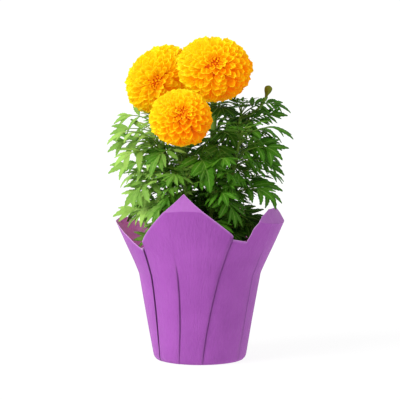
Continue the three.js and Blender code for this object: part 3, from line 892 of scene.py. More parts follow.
def leafBend(made, points):
    # carries points of a flat leaf, +X along it, onto its arc, as the solids' blades are bent
    start, end = math.radians(made["from"]), math.radians(made["to"])
    curl = (end - start) / made["length"]
    out = outward(made["bearing"])
    angle = start + curl * points[:, 0]
    along = np.outer(np.cos(angle), out) + np.outer(np.sin(angle), up)
    normal = np.outer(-np.sin(angle), out) + np.outer(np.cos(angle), up)
    side = np.cross(normal, along)
    roll = math.radians(made["roll"])
    across = side * math.cos(roll) + normal * math.sin(roll)
    lifted = normal * math.cos(roll) - side * math.sin(roll)
    spine = np.outer(np.sin(angle) - math.sin(start), out) + np.outer(math.cos(start) - np.cos(angle), up)
    hang = math.radians(made["hang"])
    y, z = points[:, 1], points[:, 2]
    sideways = across * (y * math.cos(hang))[:, None]
    return made["base"] + spine / curl + sideways + lifted * (z - np.abs(y) * math.sin(hang))[:, None]


leafForm = {
    "firstPair": 0.28,
    "lastPair": 0.66,
    "endStart": 0.6,  # where the end leaflet starts, share of the leaf's length
    "endLength": 0.416,
    "reach": 0.4,
    "openAngle": 58,
    "closeAngle": 33,
    "angleSpread": 11,
    "shift": 1.6,
    "uneven": 0.16,
    "tilt": 16,
    "lift": 0.2,
    "toneSpread": 0.07,
    "ribReach": 0.72,
    "ribRadii": (0.85, 0.35),
    "ribSides": 5,
}


def leafletSites(made, number):  # how far along the leaf, the angle, the length and an own number
    length, pairs = made["length"], made["pairs"]
    sites = [(length * leafForm["endStart"], 0.0, length * leafForm["endLength"], 0)]
    for k in range(pairs):
        share = k / max(pairs - 1, 1)
        x = length * lerp(made.get("first", leafForm["firstPair"]), leafForm["lastPair"], share)
        angle = lerp(leafForm["openAngle"], leafForm["closeAngle"], share)
        reach = length * made.get("reach", leafForm["reach"]) * (1 - 0.5 * (share - 0.35) ** 2)
        for side in (-1, 1):
            n = number * 40 + 2 * k + (side > 0)
            turned = side * (angle + leafForm["angleSpread"] * jitter(n, 12))
            grown = reach * (1 + leafForm["uneven"] * jitter(n, 13))
            sites.append((x + leafForm["shift"] * jitter(n, 11), turned, grown, n))
    return sites


def growLeaf(cluster, shape, made, number):
    tone = made["tone"]
    for x, angle, reach, n in leafletSites(made, number):
        turn = math.radians(angle)
        local = shape["points"] * reach
        local[:, 1] *= made["narrow"]
        tilt = math.radians(leafForm["tilt"] * jitter(n + number, 14))
        tilt += math.copysign(leafForm["lift"], angle) if angle else 0
        y = local[:, 1] * math.cos(tilt) - local[:, 2] * math.sin(tilt)
        z = local[:, 1] * math.sin(tilt) + local[:, 2] * math.cos(tilt)
        ahead = x + local[:, 0] * math.cos(turn) - y * math.sin(turn)
        aside = local[:, 0] * math.sin(turn) + y * math.cos(turn)
        bent = leafBend(made, np.stack([ahead, aside, z], 1))
        cluster.add(shape, bent, tone + leafForm["toneSpread"] * jitter(n + number, 15))
    steps = np.linspace(0, made["length"] * leafForm["ribReach"], 9)
    spine = leafBend(made, np.stack([steps, 0 * steps, 0 * steps - 0.2], 1))
    radii = np.linspace(*leafForm["ribRadii"], len(steps)) * clamp(made["length"] / 50, 0.6, 1)
    cluster.add(rodShape(spine, radii, leafForm["ribSides"]), tone=tone, slot=2)


stem = {"footRadius": 2.5, "tipRadius": 1.3, "rings": 26, "sides": 10, "ribs": 0.1}
ring = {"footRadius": 17, "midRadius": 22, "midHeight": 122, "firstLeafHeight": 96, "footHeight": 50.4}
foliage = {
    "main": 7,
    "spread": 11.5,
    "hang": 12,
    "startSlopes": (52, 58),  # of the lowest and the highest main leaf
    "featherSlope": 46,
    "endSlopes": (-66, -40),
    "lowLength": 0.66,  # the two lowest are shorter
    "lowSlope": -30,
    "topTone": 0.08,
    "smoothAngle": 60,
}
filling = {  # leaves that only the dressed plant has
    "inner": 10,
    "outer": 13,
    "tuft": 7,
    "lowest": 88,
    "innerClear": 10,  # how far below the shoot's tip they end
    "outerClear": 3,
    "fanRoll": 26,
}
# Each measure of a kind of leaf has a middle value and a spread up or down. The bearing and the tone
# count from the shoot's own, and the lengths of "outer" and "tuft" are shares of its leaf length.
leafKinds = {
    "main": {"bearing": (0, 3), "length": (0, 3), "from": (0, 4), "to": (0, 7), "roll": (18, 8),
             "tone": (0, 0.1)},
    "inner": {"bearing": (180, 75), "length": (38, 4), "from": (50, 16), "to": (-32, 32), "roll": (0, 20),
              "tone": (-0.12, 0.1), "height": (0, 3)},
    "outer": {"bearing": (36, 30), "length": (0.76, 0.12), "from": (50, 16), "to": (-32, 32), "roll": (0, 20),
              "tone": (-0.02, 0.1), "height": (0, 3)},
    "tuft": {"bearing": (0, 25), "length": (0.5, 0.12), "from": (70, 10), "to": (5, 28), "roll": (0, 15),
             "tone": (0.14, 0.08)},
    "stalk": {"length": (40, 5), "from": (50, 0), "to": (-50, 16), "roll": (0, 0), "tone": (0, 0.1)},
    "stalkSeen": {"length": (36, 0), "from": (50, 0), "to": (-50, 0), "roll": (0, 0), "tone": (0, 0.1)},
}
measures = {"bearing": 1, "length": 2, "from": 3, "to": 4, "roll": 5, "tone": 6, "height": 7}
# A shoot's tone is painted light and shade: high on the left, towards the key light, and low on the right.
shoots = [
    {"name": "front_right", "bearing": 24, "top": (35, 190), "leafLength": 50, "narrow": 0.95, "tone": 0.3},
    {"name": "right", "bearing": 66, "top": (42, 214), "leafLength": 62, "narrow": 0.9, "tone": 0.35,
     "roll": 20},
    {"name": "right_back", "bearing": 111, "top": (43, 238), "leafLength": 58, "narrow": 0.85, "tone": 0.24,
     "feather": True, "roll": 20},
    {"name": "back_right", "bearing": 156, "top": (36, 234), "leafLength": 58, "narrow": 0.8, "tone": 0.2,
     "feather": True},
    {"name": "back_left", "bearing": 201, "top": (36, 196), "leafLength": 58, "narrow": 0.8, "tone": 0.36},
    {"name": "left_back", "bearing": 246, "top": (42, 222), "leafLength": 60, "narrow": 0.78, "tone": 0.66,
     "roll": -32},
    {"name": "left", "bearing": 290, "top": (42, 210), "leafLength": 60, "narrow": 0.84, "tone": 0.82,
     "roll": -18},
    {"name": "front_left", "bearing": 334, "top": (34, 175), "leafLength": 48, "narrow": 0.95, "tone": 0.5},
]
# Single leaves as the photo shows them: the piece and height they grow from, their bearing and
# length, the slope at their start and end, roll, tone, how many pairs of leaflets they have, where
# the first pair sits, how long the leaflets are, and, where it isn't the usual, how narrow.
# The tone column is painted light and shade as well: high for leaves on the left, low for those on the right
# and at the back.
placedColumns = "on height bearing length from to roll tone pairs first reach narrow".split()
placedLeaves = [dict(zip(placedColumns, row)) for row in [
    ("stalk_front", 186, 19, 90, 50, -75, 0, 0.42, 3, 0.5, 0.3, 1.05),
    ("stalk_right", 196, 8, 84, 50, -75, 0, 0.34, 3, 0.48, 0.28, 1.0),
    ("front_right", 155, 33, 56, 35, -85, -10, 0.36, 3, 0.36, 0.42),
    ("right", 165, 80, 60, 40, -80, 35, 0.46, 3, 0.3, 0.44),
    ("right_back", 226, 95, 50, 35, -10, 50, 0.36, 7, 0.2, 0.3),
    ("right", 190, 88, 52, 25, -45, 50, 0.4, 5, 0.3, 0.3),
    ("right", 203, 80, 42, 45, -35, 55, 0.34, 4, 0.3, 0.4),
    ("left", 170, 310, 60, 40, -85, -20, 0.7, 3, 0.36, 0.44),
    ("left", 190, 270, 56, 20, -35, -50, 0.78, 2, 0.36, 0.4),
    ("left", 206, 272, 54, 35, -40, -50, 0.7, 3, 0.2, 0.4),
    ("left_back", 216, 265, 53, 30, -25, -45, 0.72, 2, 0.36, 0.42),
    ("left_back", 221, 235, 34, 75, 20, -40, 0.7, 3, 0.3, 0.46),
    ("left", 140, 280, 63, 30, -25, -45, 0.86, 2, 0.42, 0.36),
    ("front_left", 150, 307, 52, 40, -75, -10, 0.6, 3, 0.34, 0.44),
    ("left", 150, 308, 52, 35, -80, -10, 0.86, 5, 0.3, 0.3),
    ("stalk_front", 195, 325, 70, 45, -70, -10, 0.56, 3, 0.45, 0.32, 0.95),
    ("left", 128, 300, 44, 35, -70, -10, 0.8, 4, 0.3, 0.36),
    ("left", 122, 284, 42, 35, -60, -20, 0.66, 3, 0.3, 0.42),
    ("front_left", 120, 312, 40, 40, -60, -10, 0.5, 3, 0.3, 0.42),
    ("stalk_right", 150, 12, 44, 10, -80, 0, 0.14, 3, 0.3, 0.42),
    ("back_right", 110, 160, 46, 75, 35, 0, 0.08, 4, 0.24, 0.46),
    ("right_back", 106, 128, 52, 60, 15, 10, 0.08, 4, 0.24, 0.46),
    ("back_right", 106, 75, 46, 25, -30, 62, 0.14, 4, 0.24, 0.44),
    ("right", 148, 76, 30, 15, -50, 52, 0.24, 3, 0.24, 0.5),
    ("left", 110, 276, 47, 32, -12, -55, 0.7, 3, 0.26, 0.44),
    ("left", 100, 300, 46, 40, -10, -35, 0.6, 3, 0.3, 0.42),
    ("front_right", 118, 52, 46, 45, -40, 10, 0.12, 3, 0.3, 0.44),
    ("right", 116, 62, 46, 50, -40, 15, 0.1, 3, 0.3, 0.44),
    ("right", 124, 90, 48, 45, -35, 30, 0.12, 3, 0.3, 0.44),
    ("right_back", 128, 80, 50, 45, -30, 30, 0.1, 3, 0.3, 0.44),
    ("stalk_right", 214, 30, 52, 40, -60, 20, 0.2, 4, 0.3, 0.4),
    ("stalk_right", 222, 70, 50, 40, -55, 30, 0.2, 4, 0.3, 0.4),
    ("stalk_right", 206, 345, 50, 40, -60, -20, 0.22, 4, 0.3, 0.4),
    ("stalk_right", 221, 100, 44, 22, -40, 58, 0.2, 5, 0.1, 0.42),
    ("stalk_right", 230, 92, 46, 28, -62, 35, 0.2, 4, 0.22, 0.42),
    ("left", 148, 255, 44, 35, -30, -45, 0.6, 3, 0.3, 0.44),
    ("right", 130, 62, 50, 30, -45, 35, 0.14, 3, 0.3, 0.44),
    ("right", 141, 57, 46, 20, -62, 22, 0.18, 3, 0.3, 0.44),
]]
placedUsual = {"narrow": 0.84, "hang": 4}
# Seen from the front, the background shows between the leaves and the cover's right corner.
leafGap = {"x": 59, "height": 145, "radius": 11, "sightSlope": 0.1025}


def footPoints(place):  # where a stem starts in the soil, and where it leaves it
    return [place + up * ring["footHeight"], place + up * (soil["edgeHeight"] + soil["crown"])]


def shootPath(shoot, count):
    start = footPoints(polar(shoot["bearing"], ring["footRadius"], 0))
    middle = polar(shoot["bearing"], ring["midRadius"], ring["midHeight"])
    return smoothPath([*start, middle, polar(shoot["bearing"], *shoot["top"])], count)


def atHeight(path, height):
    return np.array([np.interp(height, path[:, 2], path[:, k]) for k in range(3)])


def drawn(kind, n):  # the measures of one leaf of a kind
    leaf = {}
    for key, (middle, spread) in leafKinds[kind].items():
        leaf[key] = middle + spread * jitter(n, measures[key])
    return leaf


def leafletRow(shoot, plain):
    # a leaf of a feathery shoot has many short leaflets, others have few long ones
    feathery = shoot.get("feather") and not plain
    return {"pairs": 6, "reach": 0.3, "first": 0.24} if feathery else {"pairs": 3}


def mainLeaf(shoot, k, path, j):
    leaf = drawn("main", k * 10 + j)
    side = 1 if (j + k) % 2 else -1
    climb = j / (foliage["main"] - 1)
    low = j < 2
    first, last = foliage["startSlopes"]
    leaf["base"] = atHeight(path, lerp(ring["firstLeafHeight"], shoot["top"][1] - 3, climb))
    leaf["bearing"] += side * foliage["spread"] * (1 - 0.5 * climb)
    leaf["length"] += shoot["leafLength"] * (foliage["lowLength"] if low else 1)
    leaf["from"] += lerp(first, foliage["featherSlope"] if shoot.get("feather") else last, climb)
    leaf["to"] += foliage["lowSlope"] if low else lerp(*foliage["endSlopes"], climb)
    leaf["roll"] = shoot.get("roll", 0) - side * leaf["roll"]
    leaf["tone"] += foliage["topTone"] * climb
    return {**leaf, **leafletRow(shoot, low)}


def fillingLeaf(shoot, k, path, j):
    # the inner ones grow towards the plant's middle, the outer ones fan to both sides
    inner = j < filling["inner"]
    leaf = drawn("inner" if inner else "outer", 200 + k * 30 + j)
    if inner:
        climb = (j + 0.5) / filling["inner"]
    else:
        climb = ((j - filling["inner"] + 0.5) / filling["outer"]) ** 0.8
        side = 1 if j % 2 else -1
        leaf["bearing"] *= side
        leaf["roll"] += side * filling["fanRoll"]
        leaf["length"] *= shoot["leafLength"]
    highest = shoot["top"][1] - filling["innerClear" if inner else "outerClear"]
    height = lerp(filling["lowest"], highest, climb) + leaf["height"]
    return {**leaf, **leafletRow(shoot, inner), "base": atHeight(path, height)}


def tuftLeaf(shoot, k, path, j):  # at the shoot's tip
    leaf = drawn("tuft", 600 + k * 10 + j)
    leaf["bearing"] += 360 / filling["tuft"] * j
    leaf["length"] *= shoot["leafLength"]
    return {**leaf, "base": path[-1], "pairs": 3}


def hidesGap(made):
    reaches = made["length"] * np.array([0.5, 0.7, 0.9])
    seen = leafBend(made, np.stack([reaches, 0 * reaches, 0 * reaches], 1))
    across = seen[:, 0] - leafGap["x"]
    rise = seen[:, 2] + leafGap["sightSlope"] * seen[:, 1] - leafGap["height"]
    return np.hypot(across, rise).min() < leafGap["radius"]


def growPlaced(cluster, shape, owner, path):
    for number, leaf in enumerate(placedLeaves):
        if leaf["on"] == owner:
            made = {**placedUsual, **leaf, "base": atHeight(path, leaf["height"])}
            growLeaf(cluster, shape, made, 2000 + number)


def makeShoots(shape, materials):
    faces = 0
    for k, shoot in enumerate(shoots):
        path = shootPath(shoot, stem["rings"])
        radii = np.linspace(stem["footRadius"], stem["tipRadius"], stem["rings"])
        cluster = Cluster()
        cluster.add(rodShape(path, radii, stem["sides"], stem["ribs"]), tone=shoot["tone"], slot=2)
        leaves = [mainLeaf(shoot, k, path, j) for j in range(foliage["main"])]
        leaves += [fillingLeaf(shoot, k, path, j) for j in range(filling["inner"] + filling["outer"])]
        leaves += [tuftLeaf(shoot, k, path, j) for j in range(filling["tuft"])]
        for number, leaf in enumerate(leaves):
            leaf["bearing"] += shoot["bearing"]
            leaf["tone"] += shoot["tone"]
            leaf.update({"hang": foliage["hang"], "narrow": shoot["narrow"]})
            if not hidesGap(leaf):
                growLeaf(cluster, shape, leaf, 100 * k + number)
        growPlaced(cluster, shape, shoot["name"], path)
        piece = cluster.asPiece("foliage_" + shoot["name"])
        dress(piece, materials, "leafy_shoot_" + shoot["name"], foliage["smoothAngle"])
        faces += len(piece.data.polygons)
    print("shoots: stems and leaves,", faces, "faces")


def modelRibbedCup(rings, ribs, depth):
    # a cylinder cut at each ring, which is then set to its radius and height, with ribs down it
    piece = cutCylinder(4 * ribs, 1, len(rings) - 1, range(1, len(rings) - 1), "NGON")
    points = coordinates(piece.data)
    for point in points:
        radius, height, rib = rings[round(point[2])]
        angle = math.atan2(point[1], point[0])
        reach = radius * (1 + depth * rib * math.cos(angle * ribs))
        point[:] = (reach * math.cos(angle), reach * math.sin(angle), height)
    moveVertices(piece.data, points)

    def grainOf(p):
        heights = p[:, 2]
        climb = (heights - heights.min()) / np.ptp(heights[heights <= rings[-1][1] + 1e-6])
        return np.stack([climb, 0.5 + 0.5 * np.cos(np.arctan2(p[:, 1], p[:, 0]) * ribs)], 1)

    return takeShape(piece, grainOf)


bud = {
    "radius": 3.7,
    "length": 12,
    "stalkRadii": (1.43, 1.1),
    "stalkRings": 12,
    "stalkSides": 10,
    "stalkRibs": 0.08,
    "tip": (67.3, 10, 265.5),
    "ribs": 10,
    "ribDepth": 0.05,
    "leavesShoot": 0.97,  # how far up the shoot its stalk starts
    "lean": 0.35,
    "bend": 0.35,
}


def makeBud(materials, path):
    tip = np.array(bud["tip"], float)
    start = path[int(bud["leavesShoot"] * len(path))]
    lean = tip - start
    axis = unit(lean * (bud["lean"], bud["lean"], 1))
    neck = tip - axis * bud["length"]
    turned = neck - axis * bud["bend"] * np.linalg.norm(lean)
    steps = np.linspace(0, 1, bud["stalkRings"])[:, None]
    curve = (1 - steps) ** 2 * start + 2 * steps * (1 - steps) * turned + steps ** 2 * (neck + axis)
    stalk = Cluster()
    radii = np.linspace(*bud["stalkRadii"], bud["stalkRings"])
    stalk.add(rodShape(curve, radii, bud["stalkSides"], bud["stalkRibs"]), slot=0)
    r, long = bud["radius"], bud["length"]
    rings = [  # radius, height and how strong the ribs are
        (1.1, 0, 0), (1.3, 1.0, 0.3), (r * 0.5, long * 0.26, 1), (r * 0.84, long * 0.48, 1),
        (r, long * 0.68, 1), (r * 0.96, long * 0.82, 1), (r * 0.76, long * 0.91, 1.2),
        (r * 0.45, long * 0.97, 1.5), (r * 0.2, long, 1),
    ]
    knob = modelRibbedCup(rings, bud["ribs"], bud["ribDepth"])
    stalk.add(knob, knob["points"] @ turnTo(axis).T + neck, slot=1)
    piece = stalk.asPiece("flowerBud")
    dress(piece, materials, "leafy_shoot_right_back", foliage["smoothAngle"])
    print("bud: ribbed green bud on its stalk")


# "shrink" makes the head smaller than its radius, so that the petals' tips just reach that radius,
# and "leaves" has the height and bearing of two leaves on the stalk.
blooms = [
    {
        "name": "right", "centre": (14, -8, 283), "faces": (0.03, -0.955, 0.29), "turn": -8,
        "radius": 38, "shrink": 0.9, "squash": 0.87, "heart": (0.0, 0.08), "tone": 0.39,
        "foot": (6, 5), "path": [(9, 10, 150), (13, 22, 215), (13.5, 27, 256)],
        "leaves": [(160, 20), (203, 43)], "leafTone": 0.18,
    },
    {
        "name": "left", "centre": (-40, 25, 271), "faces": (-0.12, -0.97, 0.21), "turn": 40,
        "radius": 36.5, "shrink": 0.95, "squash": 0.8, "heart": (-0.18, -0.15), "tone": 0.46,
        "foot": (-8, 9), "path": [(-12, 13, 150), (-22, 25, 205), (-33, 47, 241)],
        "leaves": [(168, 299), (200, 312)], "leafTone": 0.26,
    },
    {
        "name": "front", "centre": (-18, -45, 238), "faces": (0.02, -0.94, 0.34), "turn": 0,
        "radius": 31, "shrink": 0.905, "squash": 0.93, "heart": (0.09, 0.15), "tone": 0.35,
        "foot": (-3, -8), "path": [(-8, -2, 150), (-15, 4, 195), (-18, -3, 219)],
        "leaves": [(151, 16), (182, 8)], "leafTone": 0.26,
    },
]
head = {
    "coreShare": 0.74,
    "topShare": 0.5,
    "underShare": 0.38,
    "flatUnder": 0.8,  # the core's underside is flatter than the solid's
    "coreSize": 0.97,  # a little smaller than the solid's, under the petals' roots
    "coreTone": 0.06,
    "firstPetal": 13,  # polar angle of the first ring of open petals, from the heart
    "lastPetal": 150,
    "ringSteps": (7.2, 9.8),  # from ring to ring, at the heart and at the outside
    "grownAngle": 80,  # polar angle by which the petals have their full size
    "overlap": 0.72,  # share of a petal's width from each petal to the next
    "unevenTurn": 0.4,
    "lumps": 0.06,  # how uneven the outline is
    "litTone": 0.25,  # painted light: petals of the upper left, towards the key light, are the palest
    "heartTone": 0.08,
    "toneSpread": 0.05,
    "smoothAngle": 70,
}
petal = {
    "lengthCuts": 5,
    "widthCuts": 6,
    "thickness": 0.024,
    "cup": 0.2,  # how far its sides rise
    "curl": 0.16,  # how far its tip rises
    "hollow": 0.1,
    "rounding": 0.3,  # how far its corners draw back
    "waves": 5.2,
    "ruffle": 0.07,
    "notches": 8,
    "notch": 0.035,
    "kinds": 3,
    "widths": (0.15, 0.33),  # shares of the bloom's radius, at the heart and at the outside
    "reaches": (0.14, 0.38),
    "rises": (0.19, 0.17),
    "uneven": 0.12,
    "scatter": 3.4,  # degrees off its ring
    "twist": 0.2,
    "wholeLength": 1.18,  # with the part that is buried in the head
    "buried": 0.18,
    "scoop": 0.9,  # how deep its scoop is against its length
}
tube = {  # the small rolled petals of the heart
    "count": 26,
    "spread": 2.645,
    "goldenAngle": 2.39996,
    "size": 0.115,
    "uneven": 0.15,
    "slant": 0.3,  # how much it leans away from the heart
    "sunk": 0.3,  # share of its size
    "width": 0.62,
    "length": 1.25,
    "radius": 0.22,
    "waist": 0.7,
    "mouth": 1.9,
    "foot": 0.5,
    "thickness": 0.05,
    "tone": 0.24,
    "toneSpread": 0.2,
}


petalShades = [  # from painted shade deep in the head to painted light on the sunlit rims
    (0.0, (164, 48, 0)), (0.06, (212, 92, 0)), (0.22, (246, 132, 0)),
    (0.4, (252, 162, 0)), (0.66, (252, 200, 6)), (0.9, (252, 220, 24)),
]


def modelPetal(phase):
    # a scoop-shaped petal, +X to its ruffled and notched free edge, hollow towards +Z
    piece = primitive(bpy.ops.mesh.primitive_grid_add, x_subdivisions=petal["lengthCuts"],
                      y_subdivisions=petal["widthCuts"], size=1, location=(0.5, 0, 0))
    points = coordinates(piece.data)
    for point in points:
        u, v = clamp(point[0]), clamp(2 * point[1], -1, 1)
        notch = petal["notch"] * math.cos(v * petal["notches"] + phase)
        edge = 1 - petal["rounding"] * abs(v) ** 2.6 - notch
        wave = math.sin(v * petal["waves"] + phase * 1.7)
        half = 0.5 * lerp(0.5, 1.0, smooth(u / 0.6))
        raised = petal["cup"] * v * v * smooth(u * 1.2) + petal["curl"] * u ** 3
        hollow = raised - petal["hollow"] * math.sin(math.pi * u)
        point[0] = u * lerp(1, edge, smooth(u))
        point[1] = v * half * (1 + 0.06 * wave * u)
        point[2] = hollow + petal["ruffle"] * wave * u ** 2
    moveVertices(piece.data, points)
    thicken(piece, petal["thickness"])
    return takeShape(piece, lambda p: np.stack([p[:, 0], np.clip(p[:, 1] * 2, -1, 1)], 1))


def modelTubePetal():
    # a small rolled petal of the centre: a funnel with five points, +Z to its mouth
    piece = cutCylinder(10, tube["radius"], 1, [tube["waist"]])
    points = coordinates(piece.data)
    for point in points:
        fivefold = math.cos(5 * math.atan2(point[1], point[0]))
        if point[2] > tube["waist"] + 0.1:
            point[:2] *= tube["mouth"] + 0.25 * fivefold
            point[2] = 0.95 + 0.12 * fivefold
        elif point[2] < 0.1:
            point[:2] *= tube["foot"]
    moveVertices(piece.data, points)
    thicken(piece, tube["thickness"], offset=-1)
    return takeShape(piece, lambda p: np.stack([p[:, 2], 0 * p[:, 2]], 1))


def petalTissue():
    material, tree, shader = newMaterial(
        "petalTissue", Roughness=0.7, Specular_IOR_Level=0.12, Sheen_Weight=0.03, Sheen_Roughness=0.4,
        Subsurface_Weight=0.55, Subsurface_Scale=0.005, Subsurface_Radius=(1.0, 0.45, 0.06),
        Emission_Strength=0.12)
    along, across, tone = grainParts(tree)
    mottle = cloud(tree, objectPlace(tree), 320.0, 4.0)
    side = maths(tree, "POWER", maths(tree, "ABSOLUTE", across), 4.0)
    # painted light and shade: each petal darker at its root and paler towards its rim and sides
    rim = maths(tree, "MAXIMUM", maths(tree, "POWER", along, 2.2), times(tree, side, along))
    value = maths(tree, "MULTIPLY_ADD", rim, 0.38, tone)
    value = plus(tree, value, maths(tree, "MULTIPLY_ADD", mottle, 0.08, -0.04))
    colour = ramp(tree, value, petalShades)
    feed(shader, "Base Color", colour)
    feed(shader, "Emission Color", colour)  # stands in for the light that thin petals let through
    lines = maths(tree, "SINE", times(tree, across, 24.0))
    bumpOn(tree, shader, plus(tree, times(tree, lines, 0.15), mottle), 0.0002, 0.5)
    return material


def headPlace(bloom):  # carries points of an upright head to the bloom's place
    spin = np.array(Matrix.Rotation(math.radians(bloom["turn"]), 3, "Z"))
    matrix = turnTo(unit(np.array(bloom["faces"], float))) @ spin @ np.diag([1, bloom["squash"], 1])
    centre = np.array(bloom["centre"], float)
    return lambda points: points @ matrix.T + centre


def headSurface(radius, heart, polarAngle, turn):
    # the root of a petal on the core, with its outward normal, its way off the heart and its side
    sin, cos = math.sin(polarAngle), math.cos(polarAngle)
    spoke = np.array([math.cos(turn), math.sin(turn), 0.0])
    tilt = turnTo((*heart, 1))
    place = tilt @ (spoke * sin + up * cos)
    leaving = tilt @ (spoke * cos - up * sin)
    across = radius * head["coreShare"]
    deep = radius * (head["topShare"] if place[2] > 0 else head["underShare"] * head["flatUnder"])
    sizes = np.array([across, across, deep])
    normal = unit(place / sizes)
    away = leaving * sizes
    away = unit(away - normal * normal.dot(away))
    return place * sizes, normal, away, np.cross(normal, away)


def openPetal(index, bloom, radius, polarAngle, turn, grown, n, local):
    # the points of one petal, set on the core by its own reach, rise and twist
    root, normal, away, side = headSurface(radius, bloom["heart"], polarAngle, turn)
    uneven = [1 + petal["uneven"] * jitter(n, kind) for kind in (23, 24, 26)]
    lump = 1 + head["lumps"] * (math.sin(3 * turn + 2 * index) + 0.6 * math.sin(7 * turn + index))
    reach = radius * lerp(*petal["reaches"], math.sin(polarAngle)) * uneven[0] * lump
    rise = radius * lerp(*petal["rises"], grown) * uneven[1]
    width = radius * lerp(*petal["widths"], grown) * uneven[2]
    length = math.hypot(reach, rise)
    lean = math.atan2(rise, reach)
    forward = away * math.cos(lean) + normal * math.sin(lean)
    lifted = normal * math.cos(lean) - away * math.sin(lean)
    twist = petal["twist"] * jitter(n, 25)
    across = side * math.cos(twist) + lifted * math.sin(twist)
    lifted = lifted * math.cos(twist) - side * math.sin(twist)
    whole = length * petal["wholeLength"]
    axes = np.array([forward * whole, across * width, lifted * whole * petal["scoop"]])
    return root - forward * petal["buried"] * length + local @ axes


def addOpenPetals(cluster, index, bloom, radius, place, shapes):
    centre = np.array(bloom["centre"], float)
    number = 0
    angle = head["firstPetal"]
    while angle < head["lastPetal"]:
        grown = smooth(angle / head["grownAngle"])
        around = 2 * math.pi * radius * head["coreShare"] * math.sin(math.radians(angle))
        count = max(6, round(around / (radius * lerp(*petal["widths"], grown) * head["overlap"])))
        phase = jitter(number, 20 + index) * math.pi
        for j in range(count):
            number += 1
            n = number + 1000 * index
            turn = phase + 2 * math.pi * (j + head["unevenTurn"] * jitter(n, 21)) / count
            polarAngle = math.radians(angle + petal["scatter"] * jitter(n, 22))
            shape = shapes[n % len(shapes)]
            placed = place(openPetal(index, bloom, radius, polarAngle, turn, grown, n, shape["points"]))
            # painted light: the tone rises towards the bloom's upper left
            lit = (centre[0] - placed[:, 0].mean() + placed[:, 2].mean() - centre[2]) / radius
            tone = bloom["tone"] + head["litTone"] * lit + head["heartTone"] * (1 - grown)
            cluster.add(shape, placed, tone + head["toneSpread"] * jitter(n, 27))
        angle += lerp(*head["ringSteps"], grown)
    return number


def addTubePetals(cluster, index, bloom, radius, place, shape):
    for j in range(tube["count"]):
        polarAngle = math.radians(tube["spread"] * math.sqrt(j))
        root, normal, away, side = headSurface(radius, bloom["heart"], polarAngle, tube["goldenAngle"] * j)
        size = radius * tube["size"] * (1 + tube["uneven"] * jitter(j + 100 * index, 28))
        forward = unit(normal + tube["slant"] * away)
        wide = tube["width"]
        axes = np.array([side * wide, np.cross(forward, side) * wide, forward * tube["length"]]) * size
        points = root - normal * size * tube["sunk"] + shape["points"] @ axes
        cluster.add(shape, place(points), tube["tone"] + tube["toneSpread"] * jitter(j + 100 * index, 29))


def makeBloom(index, bloom, petalShapes, tubeShape, material):
    radius = bloom["radius"] * bloom["shrink"]
    place = headPlace(bloom)
    cluster = Cluster()
    ball = primitive(bpy.ops.mesh.primitive_uv_sphere_add, segments=40, ring_count=24, radius=1)
    core = takeShape(ball)
    points = core["points"] * radius * np.array([head["coreShare"], head["coreShare"], 1.0])
    points *= head["coreSize"]
    points[:, 2] *= np.where(points[:, 2] > 0, head["topShare"], head["underShare"] * head["flatUnder"])
    cluster.add(core, place(points), head["coreTone"])
    petals = addOpenPetals(cluster, index, bloom, radius, place, petalShapes)
    addTubePetals(cluster, index, bloom, radius, place, tubeShape)
    piece = cluster.asPiece("petals_" + bloom["name"])
    dress(piece, [material], "bloom_" + bloom["name"], head["smoothAngle"])
    print("bloom:", bloom["name"], petals, "petals")


flowerStalk = {
    "rings": 44,
    "sides": 14,
    "ribs": 0.08,
    "leaves": 9,
    "lowestLeaf": 100,
    "clearOfBloom": 40,
    "leafTurn": 137.5,  # degrees from each leaf to the next
}
calyx = {"lip": 10.5, "depth": 17, "neck": 3.2, "ribs": 12, "ribDepth": 0.075}


def calyxCup():
    depth, wide, neck = calyx["depth"], calyx["lip"], calyx["neck"]
    rings = [  # radius, height and how strong the ribs are
        (neck * 0.8, -depth, 0), (neck * 1.3, -depth * 0.93, 0.3), (wide * 0.62, -depth * 0.74, 1),
        (wide * 0.84, -depth * 0.52, 1), (wide * 0.96, -depth * 0.3, 1), (wide, -depth * 0.1, 1),
        (wide * 0.98, 0, 1.4), (wide * 0.86, 0.2, 1), (wide * 0.7, -3, 0.5), (wide * 0.4, -4.5, 0),
    ]
    return modelRibbedCup(rings, calyx["ribs"], calyx["ribDepth"])


def stalkLeaf(bloom, path, j, number, height, bearing):
    leaf = drawn("stalkSeen" if j < len(bloom["leaves"]) else "stalk", number)
    leaf["tone"] += bloom["leafTone"]
    form = {"hang": foliage["hang"], "pairs": 3, "reach": 0.6, "narrow": 0.9}
    return {**leaf, **form, "base": atHeight(path, height), "bearing": bearing}


def makeStalk(index, bloom, leafShape, materials):
    axis = unit(np.array(bloom["faces"], float))
    lip = np.array(bloom["centre"], float) - axis * bloom["radius"] * head["underShare"]
    start = footPoints(np.array([*bloom["foot"], 0.0]))
    path = smoothPath([*start, *bloom["path"], lip - axis * (calyx["depth"] - 1)], flowerStalk["rings"])
    radii = [lerp(stem["footRadius"], calyx["neck"], t ** 2) for t in np.linspace(0, 1, len(path))]
    cluster = Cluster()
    cluster.add(rodShape(path, radii, flowerStalk["sides"], flowerStalk["ribs"]), slot=2)
    cup = calyxCup()
    cluster.add(cup, cup["points"] @ turnTo(axis).T + lip, slot=3)
    highest = lip[2] - flowerStalk["clearOfBloom"]
    heights = np.linspace(flowerStalk["lowestLeaf"], highest, flowerStalk["leaves"])
    sites = [(height, flowerStalk["leafTurn"] * j + 40 * index) for j, height in enumerate(heights)]
    for j, site in enumerate([*bloom["leaves"], *sites]):
        number = 900 + index * 10 + j
        growLeaf(cluster, leafShape, stalkLeaf(bloom, path, j, number, *site), number)
    growPlaced(cluster, leafShape, "stalk_" + bloom["name"], path)
    piece = cluster.asPiece("stalk_" + bloom["name"])
    dress(piece, materials, "flower_stalk_" + bloom["name"], foliage["smoothAngle"])


